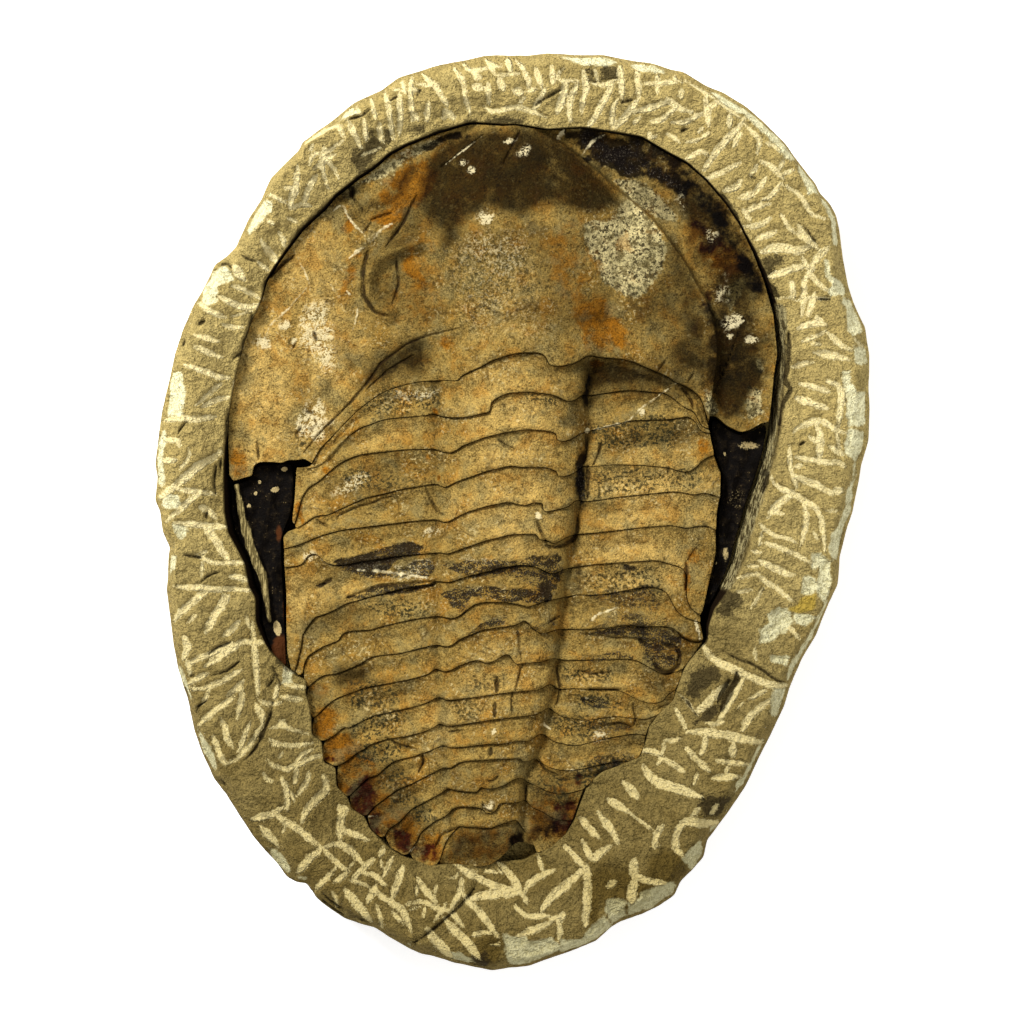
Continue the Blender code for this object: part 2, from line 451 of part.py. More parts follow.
def slab_place(kind, share, angle):
    """Distance from the origin and height of one ring of the slab at each angle."""
    step = 2 * np.pi / SLAB_SECTORS
    inner = outline_reach(FOSSIL_OUTLINE, angle, step) / np.cos(step / 2) + 2 * GAP
    outer = outline_reach(SLAB_OUTLINE, angle)
    wall = inner + by_angle(WALL_WIDTHS, angle)
    crest = outer - BEVEL * (1 + 0.3 * np.sin(5 * angle) + 0.2 * np.sin(11 * angle + 1))
    edge = by_angle(EDGE_HEIGHTS, angle)
    top = 31.8 + 2.2 * np.sin(angle) - 0.5 * np.cos(angle) + 0.4 * np.sin(7 * angle)
    low = np.minimum(bed_height(inner * np.cos(angle), inner * np.sin(angle)), 21) - BED_GAP
    if kind == "bed":
        reach = share * inner
        return reach, bed_height(reach * np.cos(angle), reach * np.sin(angle)) - BED_GAP
    if kind == "wall":
        narrow = np.minimum(by_angle(WALL_WIDTHS, angle) * 0.3, 0.9)
        return inner + narrow, low + (edge - low) * 0.35
    if kind == "border":
        return wall + share * (crest - wall), edge + (top - edge) * ease(0, 0.8, share)
    if kind == "rim":
        return outer, top - 6.5 + 1.2 * np.sin(3 * angle + 1) + 0.8 * np.sin(8 * angle)
    if kind == "side":
        return outer - 3.5 + 1.2 * np.sin(6 * angle), 13 + 2 * np.sin(4 * angle)
    return share * (outer - FOOT_INSET + 3 * np.sin(5 * angle + 2)), np.zeros_like(angle)


def add_slab(collection):
    """The stone, a closed body whose top is hollowed to take the fossil."""
    levels = slab_levels()
    bm = bmesh.new()
    bmesh.ops.create_uvsphere(bm, u_segments=SLAB_SECTORS, v_segments=len(levels) - 1, radius=1.0)
    verts = list(bm.verts)
    down = np.array([np.arccos(np.clip(v.co.z, -1, 1)) for v in verts])
    level = np.round(down / np.pi * (len(levels) - 1)).astype(int)
    angle = np.array([np.arctan2(v.co.y, v.co.x) for v in verts])
    for index, (kind, share) in enumerate(levels):
        chosen = np.flatnonzero(level == index)
        reach, height = slab_place(kind, share, angle[chosen])
        for k, r, z in zip(chosen, reach, height):
            verts[k].co = (r * np.cos(angle[k]), r * np.sin(angle[k]), z)
    places = np.array([v.co[:2] for v in verts])
    middle = (places.max(axis=0) + places.min(axis=0)) / 2
    fit = (SLAB_WIDTH, SLAB_LENGTH) / (places.max(axis=0) - places.min(axis=0))
    for vert, place, index in zip(verts, (places - middle) * fit, level):
        if index >= OUTER_RINGS:
            vert.co.x, vert.co.y = place
    keep(bm, "matrix_slab", "matrix_slab", collection)


def main():
    for obj in list(bpy.data.objects):
        bpy.data.objects.remove(obj)
    collection = bpy.data.collections.new("fossil_holmia_trilobite")
    bpy.context.scene.collection.children.link(collection)
    add_slab(collection)
    add_cephalon(collection)
    add_spines(collection)
    add_segments(collection)
    add_pygidium(collection)


main()
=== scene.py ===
"""Looks of a Holmia trilobite fossil in its hand-chiselled slab, seen from straight above.

Shapes are worked out in millimetres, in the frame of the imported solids: +Y is the head end
and z = 0 is the flat underside of the stone.
"""

import bmesh
import bpy
import numpy as np
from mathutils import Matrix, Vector


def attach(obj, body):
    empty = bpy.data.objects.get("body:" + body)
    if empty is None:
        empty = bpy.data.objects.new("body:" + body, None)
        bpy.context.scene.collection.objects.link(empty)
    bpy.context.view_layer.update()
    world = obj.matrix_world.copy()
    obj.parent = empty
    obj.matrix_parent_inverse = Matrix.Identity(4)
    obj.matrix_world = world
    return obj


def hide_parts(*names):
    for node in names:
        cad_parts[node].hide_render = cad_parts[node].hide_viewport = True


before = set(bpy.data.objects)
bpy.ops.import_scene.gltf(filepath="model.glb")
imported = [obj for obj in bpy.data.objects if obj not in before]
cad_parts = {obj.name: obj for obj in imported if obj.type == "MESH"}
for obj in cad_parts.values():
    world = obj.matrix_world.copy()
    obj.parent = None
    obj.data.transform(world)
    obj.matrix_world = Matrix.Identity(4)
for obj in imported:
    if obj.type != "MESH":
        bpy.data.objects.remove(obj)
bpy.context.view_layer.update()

MM = 0.001
GAP = 0.08
BED_GAP = 0.5
FOOT_INSET = 24.0
RIM_GROWTH = 0.6

# Mesh density
SLAB_SECTORS = 1440
EDGE_STEPS = (150, 130, 150)
SEGMENT_ROWS = 27
HEAD_COLUMNS = (80, 90)
HEAD_ROWS = 200


def pairs(*numbers):
    """The points of a line written as x, y, x, y and so on."""
    return list(zip(numbers[::2], numbers[1::2]))


# Outline of the slab seen from above, clockwise from the head end
SLAB_OUTLINE = pairs(
    0, 129.2, 4.7, 129.3, 10.2, 130, 20.1, 129.5, 26, 129.5, 30, 128.7, 34.3, 127.9, 40, 127, 45, 125.3,
    48.4, 124.7, 54.3, 121, 60, 118.6, 66.5, 114.5, 70, 111.5, 76.8, 104.9, 80, 100.5, 86, 92.7, 87.2, 90.2,
    90, 87.3, 91.9, 83.9, 92.6, 80.5, 93.8, 71.2, 95.3, 63.6, 96.7, 59.2, 99.9, 52.4, 101.1, 44.1, 100.8,
    34.3, 101, 29.5, 100.7, 20.1, 98.7, 13.3, 98, 8.4, 96.3, 0, 94.8, -4.5, 92.8, -12.8, 92.3, -20.6, 89.7,
    -26, 86.2, -34.8, 82.1, -41.6, 78.7, -49.5, 77, -55.3, 74, -61.7, 70, -70, 66.5, -77.6, 61.1, -85.6,
    57.2, -91, 55.5, -93.2, 54.5, -98, 51.3, -101.7, 47.9, -104.9, 46.2, -108.8, 42.1, -111.7, 37.2, -114.1,
    31.1, -116.1, 28.3, -117.7, 23.7, -121.8, 16.9, -124.5, 10, -126.8, 4.7, -128.8, 0, -129.2, -5.7,
    -130.1, -10.6, -129.1, -17, -127.7, -22.9, -125.9, -26, -125.4, -30, -123.4, -34.7, -120.7, -38.8, -118,
    -43.3, -116.7, -47.4, -115.3, -52.8, -111.7, -55.5, -109.2, -58.2, -105.1, -60.9, -104.9, -63.7, -103.5,
    -66.4, -99.7, -70, -95.8, -73.1, -92.2, -78.1, -84.5, -81.3, -79.5, -84.4, -75.7, -87.6, -68.7, -90.1,
    -61.8, -92.1, -52.8, -94.4, -45.5, -96, -37.4, -96.8, -29.7, -97.9, -22, -97.5, -18.9, -97.3, -12.1,
    -96.9, -10, -98.9, -5.7, -99.6, 0.2, -101, 3.4, -100.3, 9.7, -101, 13.3, -100, 21.9, -98.9, 29.2, -96.9,
    37.3, -95.1, 45, -92.8, 51.8, -90.3, 57.6, -87.2, 62.8, -83.8, 70, -80.4, 72.4, -77.9, 75, -74.3, 83.1,
    -70.7, 88.5, -68.2, 94.4, -64.1, 98.5, -60, 102.5, -59.4, 104.3, -54.6, 107.9, -50, 111.1, -44.7, 115.6,
    -37, 119.2, -32, 122.8, -25.1, 124.9, -20, 126.5, -12.9, 127.8, -7.5, 129.2, -3.4, 129.3,
)

# Edge of the stone round the fossil, clockwise from the head end
FOSSIL_OUTLINE = pairs(
    1, 109.7, 10, 108.4, 20, 109, 27.9, 107.8, 36.7, 106.3, 44, 102, 49.9, 98.8, 55.2, 94.1, 60.6, 87.8,
    64.5, 82, 68.4, 74.2, 71.8, 65.4, 74.3, 56.3, 75.5, 45, 74.5, 39, 73.5, 30, 72.5, 22, 71, 15, 69.4, 10,
    67.5, 5, 66, 0, 64.1, -6.5, 62.6, -12.8, 60.6, -18.2, 58.2, -23.1, 56.2, -27, 55.2, -32, 55.3, -36.8,
    53, -40, 50.6, -43.5, 49.4, -46, 48, -50, 46.4, -54.5, 42.5, -58, 39.5, -62, 38.6, -66, 37, -70.5, 31,
    -73, 26, -74.8, 22, -78, 20, -83, 18, -88.5, 15.6, -92.5, 11.5, -96.2, 7.5, -98, 3.5, -100, -3.8,
    -100.4, -9.3, -101.6, -14.2, -101.4, -19.4, -101.2, -24.2, -101.6, -28, -100, -31.5, -98.9, -35, -96.8,
    -38, -93.9, -41, -91, -42.4, -87.6, -46, -85.5, -47.5, -81.8, -50.5, -79, -50.8, -73.5, -54.2, -72,
    -54.8, -66, -57.6, -64, -57.9, -59, -58.4, -55.5, -59.5, -52, -59.2, -48.4, -62, -47.4, -64.3, -45.5,
    -68.5, -40, -70, -35.6, -71.4, -31, -71.3, -24, -73.2, -20.7, -74.3, -14.5, -77.2, -8.9, -79, -5.7, -80,
    0, -80.3, 5, -80.8, 20, -80.5, 28, -78.8, 38, -77.5, 43.5, -75.9, 49, -74, 54.5, -71.3, 60, -69.5, 66,
    -64.3, 73.6, -59.1, 80.4, -52.8, 86.2, -50, 89.6, -43.3, 94.8, -39.3, 97.3, -34.7, 101.4, -30, 104,
    -21.5, 107.5, -12, 110.2, -3.4, 109.5,
)

# Hind edge of the head shield, then of each thoracic segment, all from left to right
HIND_EDGES = [
    pairs(-56.9, 13.8, -54.6, 17.9, -44.2, 28.5, -40, 31.7, -37, 33.7, -34.3, 34.9, -30, 36.2, -26, 36.9,
      -20, 37.3, -15.1, 37.1, -14.2, 38.6, -8.4, 41.1, -5.7, 42.7, 0, 44.5, 3.4, 44.9, 7.9, 44.9, 9.3, 44.1,
      10.6, 41.4, 13.3, 41, 17, 41.8, 19.6, 43, 20.7, 44.1, 22.5, 44.5, 24.5, 43.9, 32, 43.2, 34.6, 42.5,
      43, 38.9, 45, 37.9, 46.3, 36.8, 49.2, 35.8, 51.2, 34.6, 53.3, 32.9, 54.4, 30.6, 55.8, 25),
    pairs(-58.4, 12.2, -55.6, 12.7, -53.5, 14.1, -52, 15.4, -49.2, 18.8, -46, 21.9, -43.3, 23.8, -37, 26,
      -34.6, 26.5, -24.2, 27.4, -22.4, 28.1, -20, 27.1, -17, 26.7, -13.3, 26.7, -10, 27.4, -6.1, 28.3, -5.9,
      31, -3.8, 32.4, -1.1, 33.5, 4.7, 33.9, 10, 33.3, 12.4, 32.8, 16, 31, 18.3, 31.9, 20, 33.3, 22.5, 33.1,
      31.3, 34.4, 34.6, 34.5, 40.8, 33.9, 43, 33.9, 45, 32.9, 48.9, 29.8, 50.9, 29, 52, 28.3, 53.5, 25.2,
      54.5, 24, 55.9, 23.7),
    pairs(-61.9, -3.4, -59.9, 3.8, -59.1, 5.4, -57.8, 7, -55.1, 8.6, -50, 13.1, -47.4, 14.7, -43.8, 16.1,
      -40, 16.7, -30, 17.7, -21.9, 17.9, -20, 17.1, -17.4, 16.7, -16.1, 17.2, -13.8, 18.8, -7.5, 21.1, -1.6,
      22.5, 4.7, 23.3, 10.6, 22.8, 12.6, 22.2, 12.6, 20.3, 14.7, 19.9, 17, 20.6, 18.8, 21.9, 21, 22.8, 30,
      24.9, 33.3, 25.9, 45, 26.3, 49.9, 27.1, 51.2, 26.5, 52.5, 25.3, 53.1, 23.8, 54, 22.7, 56.3, 22.4),
    pairs(-61, -4.6, -59.9, -4, -56.4, -1.4, -54.5, -1, -52.5, -0.9, -42.1, 3.8, -30, 6.7, -25.5, 7.3,
      -23.6, 7.8, -21.5, 8, -20.1, 7.2, -18.8, 6.8, -17.2, 7.8, -15.1, 8.7, -7.2, 11.5, 0, 13.1, 2.1, 12.6,
      6.6, 12.7, 10, 12.5, 11.6, 11.8, 12.9, 11.6, 12.7, 9.9, 15.4, 10.1, 17.4, 10.9, 20.5, 13.2, 22.4,
      12.8, 27, 13.3, 30, 13.4, 37.8, 13.2, 44.2, 12.6, 48.5, 11.4, 50.5, 11.4, 52.9, 13.1, 53.8, 14.4, 55,
      15.2, 57.4, 16.2),
    pairs(-64.9, -10.5, -61, -9.5, -54.5, -6.8, -48.7, -5.2, -29.6, -2.8, -21.7, -2.1, -20.1, -2.9, -18,
      -2.8, -14.7, -1, -12.2, 0.1, -6.8, 1.7, -1.3, 2.8, 3.7, 1.7, 6.2, 2.7, 8.9, 2.4, 8.6, 0.8, 9.5, -0.1,
      15.8, 1.4, 18.3, 3.5, 20.5, 2.9, 24.5, 3.3, 30.2, 4.2, 45.8, 5.8, 48.1, 5.6, 52.1, 4.8, 54.1, 5.4,
      56.6, 5.1, 59.1, 4),
    pairs(-64.8, -15.8, -60.4, -15.3, -59.1, -14.2, -58.1, -12.4, -56, -11.8, -54.6, -12.9, -53.3, -14.4,
      -50.4, -15.3, -47, -15, -43, -14.2, -31.7, -12.5, -20.1, -11.5, -18.4, -12, -7.6, -8.2, -1.2, -6.6,
      1.2, -6.3, 7, -6.2, 7.6, -7.9, 10, -8, 11.6, -9.1, 16.6, -6.7, 18.1, -6.4, 25.3, -5.8, 38.2, -4.3,
      45.4, -3.8, 49.7, -4.7, 53.5, -3.9, 55.8, -4, 58, -5.2),
    pairs(-62, -45.4, -61.2, -43, -60, -37.9, -59.8, -35.4, -58.7, -33.3, -57, -31, -55.8, -29.8, -53.3,
      -29.2, -50, -27.7, -47, -26, -33, -22.3, -26, -20.8, -23, -20.4, -21.9, -19.6, -18, -20, -13, -18.4,
      -2, -15.6, 2, -15, 6, -15.3, 9, -16.5, 11, -17.6, 13.5, -17, 15.5, -16, 23.5, -14.9, 40, -13.8, 42.2,
      -14, 48.1, -15.7, 49.6, -17.3, 50, -19, 49.7, -21.9, 49.9, -25, 51.2, -27.8, 53.5, -29.4),
    pairs(-59.5, -45.6, -59.3, -43.5, -58.1, -41, -53.7, -38.3, -49.2, -36.6, -48.7, -35.2, -47.5, -34.2,
      -44.6, -33.8, -40, -33.6, -37.9, -32.8, -28.4, -30.6, -22.1, -29.7, -20.1, -29.6, -18.4, -30.2, -16.7,
      -30.2, -15.3, -29.8, -10.9, -26.3, -8.8, -25.7, -6.2, -25.4, -4.6, -25.6, -2.1, -25.4, 2.1, -26.2,
      4.6, -27, 10, -25, 12, -24.8, 18.7, -23.5, 22.4, -23.7, 27.4, -23.3, 37.8, -21.3, 41, -21.4, 44,
      -22.8, 47, -28.3, 49, -30, 53.6, -31.5),
    pairs(-58, -49.8, -55, -47.3, -53.7, -46.5, -50, -46.1, -48.3, -45.5, -43.8, -43.6, -40, -41.3, -37.9,
      -40.9, -32.1, -40.3, -23.8, -38.2, -20.9, -37.7, -19.7, -38.2, -18, -38.2, -16.7, -37.7, -15.5, -36.6,
      -13.8, -35.6, -8, -33.3, 1, -32, 3.7, -30.6, 6.2, -33.3, 8.3, -34.5, 10.4, -34.1, 12, -33.4, 18.2,
      -33.3, 20, -33.5, 28.3, -32.8, 31.2, -32.3, 33.4, -32.2, 37, -32.8, 39.9, -32.5, 42.8, -32.6, 45,
      -32.8, 46.4, -33.5, 48.9, -36, 50.7, -36.9, 52.9, -37.3, 54.2, -37),
    pairs(-56.4, -58.6, -55.4, -57.9, -52.9, -55.2, -50, -53.1, -42.1, -50.1, -30, -47.9, -25.9, -46.8,
      -23.8, -46.2, -21.7, -44.4, -19.4, -45.5, -16.7, -44.7, -15.1, -43.7, -11.4, -42.2, -9.5, -41.9, -7.2,
      -42.9, -4.5, -42, -2.5, -40.5, -0.6, -40.2, 0, -42, 1.2, -43.3, 2.9, -42.9, 8.7, -42.4, 10.8, -41.6,
      12, -41.6, 15.8, -42.2, 28.3, -42, 31.2, -41.7, 34.8, -42, 37, -43, 40, -44.8, 43, -46.3, 46.3, -45.7,
      48.6, -44.8),
    pairs(-53.2, -65.1, -51.2, -64.1, -47.5, -61.1, -46.7, -61.7, -40, -58.2, -28.4, -55.6, -24.2, -54.3,
      -21.3, -52.7, -20.2, -52.6, -19.4, -53.3, -18, -53.5, 0, -51, 7.1, -50.5, 9.1, -49.8, 10, -48.9, 11.5,
      -49, 13, -50.5, 17, -50.2, 22.5, -50.4, 25.1, -50.7, 28.3, -50.5, 30.8, -50.8, 35.6, -53.4, 38.1,
      -54.3, 41, -54.6, 43.2, -53.8, 44.4, -52, 46.6, -50.8),
    pairs(-49.6, -72.3, -47.2, -71.1, -44.6, -69, -41.3, -67.1, -40, -66.1, -35.9, -64.7, -29.6, -63.8,
      -25.1, -62.6, -21.7, -61.1, -20.5, -60, -19.4, -60.7, -18, -60.9, -6.6, -59, 6.2, -57.5, 8.3, -56.8,
      10.4, -55.4, 11.5, -56.5, 14.2, -58.3, 20, -59.2, 22.5, -59.2, 26, -58.6, 30, -58.2, 38, -59.2, 41.2,
      -58),
    pairs(-46.2, -80.9, -41.7, -76.3, -40.4, -75.5, -39.2, -75.4, -37.9, -74.7, -35, -71.9, -33.4, -70.9,
      -30, -70, -28, -69.7, -25.9, -68.8, -23.8, -68.2, -19.6, -66.3, -18.2, -66.9, -16.3, -67, -6.6, -65.7,
      -2.9, -65.8, 0, -65.1, 2.9, -64.8, 4.6, -65.1, 6.2, -64.3, 7.5, -63, 9, -63.2, 11.7, -65.3, 16.7,
      -66.5, 19.3, -66.4, 26, -64.7, 32.7, -63.5, 35.5, -63.2, 38, -63.7),
    pairs(-41.2, -86.4, -39.4, -84.1, -32.5, -79, -30.5, -78.3, -27.1, -76.7, -20.5, -73.2, -19.2, -72.8,
      -17.6, -73.1, -15.1, -71.2, -12.5, -70.6, -4.7, -70.1, 2.5, -69.9, 3, -71, 5.4, -70.7, 6.5, -69.9, 8,
      -71.3, 10.2, -72.6, 12.4, -73.3, 14.6, -73.6, 17.1, -73.6, 19.5, -73.3, 27, -71.6, 30.5, -71.1, 33,
      -71.2, 35.4, -70.7),
    pairs(-36.2, -92.4, -35.4, -90.6, -32.1, -88.4, -28.8, -84.8, -19.7, -79.8, -18.2, -78.5, -17.2, -79.1,
      -9.8, -79.6, -8.8, -77.8, -7.5, -78.7, -4.6, -78.4, -2.1, -77.6, 0, -76.1, 2.1, -75.4, 3.4, -75.9,
      4.2, -76.9, 6.2, -77.6, 10, -79.6, 13, -80.3, 16, -80.2, 20.2, -79.1),
    pairs(-29.2, -97.2, -28.2, -95.3, -27, -93.9, -26.6, -92.2, -25.5, -90.9, -21.7, -87.9, -19.7, -87.1,
      -18, -85.9, -17.2, -84.7, -15.1, -83.8, -11.2, -83.8, -8.2, -84.2, -7.5, -85.5, -5.8, -85.7, -4.2,
      -84.4, -3.8, -83, -2.1, -82.5, 0.8, -82.8, 4, -81.9, 5.4, -84.2, 7.9, -84.9, 10, -86.3, 12.5, -87.6,
      17, -88.1),
    pairs(-21.6, -100.6, -20.6, -99.6, -19.2, -95, -18.3, -93, -15.9, -90.4, -15.4, -89.4, -5.8, -89.9,
      -3.7, -88.9, -1.2, -88.1, 0.4, -87.6, 1.4, -87.6, 3.3, -90.6, 4.3, -91.7, 5.5, -93.5, 6.5, -95.5, 7,
      -97),
]

# Outer ends of the segments, front to back, from each hind edge to the next
LEFT_ENDS = [
    [(-57.8, 12.7)], [(-61.4, 13), (-61.9, 3.3), (-62.6, -3)], [(-61.8, -4.6)],
    [(-63.8, -5.4), (-65.2, -7), (-65, -9.7)], [(-64.9, -15)],
    [(-64.3, -24), (-64.3, -33), (-64, -40), (-62.8, -45.6)], [(-60.6, -46.9)],
    [(-58.9, -49.4)], [(-58.7, -52.4), (-57.5, -57.8)],
    [(-57.1, -61.5), (-56.8, -63.8), (-54.2, -65.3)],
    [(-54.1, -67.4), (-54, -70.6), (-50.8, -72.4)], [(-50, -75.9), (-49.6, -79), (-47.4, -81.2)],
    [(-46, -84.5), (-42.2, -86.8)], [(-40.6, -90.2), (-37.4, -92.9)], [(-34.6, -95.8), (-30.6, -98)],
    [(-28, -99.4), (-23.2, -101.1)],
]
RIGHT_ENDS = [
    [(56, 24.4)], [(56.3, 23.1)], [(56.8, 19.7), (57.4, 17)],
    [(58.1, 14), (59.4, 11), (59.2, 4.8)], [(58.3, 0), (58.1, -4.4)],
    [(58.1, -11.4), (55.9, -21.1), (54.2, -28.6)], [(53.9, -30.8)], [(54.6, -36.2)],
    [(52.3, -39.8), (49.3, -44)], [(48.2, -47), (46.9, -50)], [(45.8, -54), (41.9, -57.4)],
    [(39, -61), (38.2, -63)], [(37.6, -67), (36, -70.2)], [(31, -72.3), (25, -74.5), (20.8, -78.5)],
    [(19, -82.5), (17.4, -87.4)], [(15.2, -92), (11.2, -95.6), (7.7, -96.8)],
]

# Remaining edges of the head shield, the spines and the tail shield
CEPHALON_LEFT = [
    (-79.2, 8.8), (-75.4, 10), (-74, 10.2), (-73.6, 13.3), (-71.8, 14.2), (-68.2, 14.2),
    (-65.5, 13.8), (-64.1, 14.7), (-60.9, 14.7), (-59.1, 15.2),
]
CEPHALON_RIGHT = [
    (55.1, 27.6), (56.5, 27.2), (58, 27.3), (59.3, 26.1), (61.3, 24.4), (63, 23.6),
    (65, 22.6), (67.5, 23.2), (69.4, 24.3), (70.9, 25.2), (73, 25.6),
]
DOME_EDGE = [
    (0, 109.2), (4.7, 109), (10, 106.6), (13.8, 104.8), (20.1, 100), (26, 95.2), (30, 91.2),
    (36.7, 86.3), (42.1, 80.5), (45.9, 75.1), (49.4, 70.7), (52, 65), (55.7, 59.7),
    (57.2, 53.8), (58.2, 49), (58.4, 44), (57.5, 38),
]
EYE_RIDGE = [
    (-27.6, 76), (-35, 74), (-40.1, 69.9), (-41.5, 64), (-40.6, 59.5), (-35, 56.5),
]
LEFT_SPINE_INNER = [
    (-78.9, 7.9), (-75.2, 9), (-73.3, 12.4), (-71.7, 13.5), (-64.2, 14), (-62.6, 13), (-62.3, 8),
    (-62.5, 3.3), (-63.4, -1), (-65, -4.8), (-65.9, -8), (-65.7, -15), (-65.3, -24), (-64.9, -33),
    (-64.7, -39), (-64.5, -43.5),
]
RIGHT_SPINE_INNER = [
    (72.3, 24.6), (69.4, 23.5), (65, 21.9), (61.1, 23.8), (58, 26.5), (56.9, 26.2), (57.1, 20.5),
    (58.4, 15.5), (60, 11.5), (60, 5), (59.1, 0), (58.7, -6), (58.7, -11.5), (57.8, -16.3),
    (56.3, -21.6), (54.9, -26.6),
]
TAIL_HIND = [
    (-20.6, -100.9), (-19, -101.2), (-13.3, -100.6), (-9.3, -101.1), (-6, -100.4), (-3.3, -98.6),
    (-0.8, -95.9), (0.2, -94.2), (2.2, -92.5), (3.4, -91.8),
]

# Furrows either side of the axis, as (y, x of the left one, x of the right one)
FURROWS = [
    (-100, -15, 3), (-88, -16.5, 3.5), (-75, -18.6, 4.2), (-66, -19.6, 8.5), (-57, -20.4, 10.8),
    (-40, -21.4, 13.6), (-20, -21.8, 15.6), (0, -21.6, 18.6), (22, -21.8, 21.6), (45, -21, 22.6),
]

# Height of the stone at the fossil's edge, how far it laps over the fossil and how wide its wall is,
# by degrees anticlockwise from the right
EDGE_HEIGHTS = [
    (-180, 29.6), (-150, 28.2), (-120, 25.6), (-90, 24.8), (-62, 25.4), (-38, 27.4),
    (-22, 30.4), (30, 30.8), (60, 30.6), (90, 31), (135, 30.4), (180, 29.6),
]
EDGE_LAPS = [(-180, -0.08), (-152, -0.08), (-144, 0.9), (-42, 0.9), (-33, -0.08), (44, -0.08), (50, 0.1),
             (165, 0.1), (172, -0.08), (180, -0.08)]
WALL_WIDTHS = [
    (-180, 1.8), (-158, 1.8), (-148, 0.05), (-38, 0.05), (-32, 0.5), (-25, 1.6), (-16, 3.4), (-8, 4.4),
    (26, 4.2), (40, 1.6), (50, 0.6), (84, 0.4), (94, 0.7), (102, 0.5), (110, 0.8), (134, 0.7), (142, 0.1),
    (164, 0.2), (170, 1.4), (180, 1.8),
]

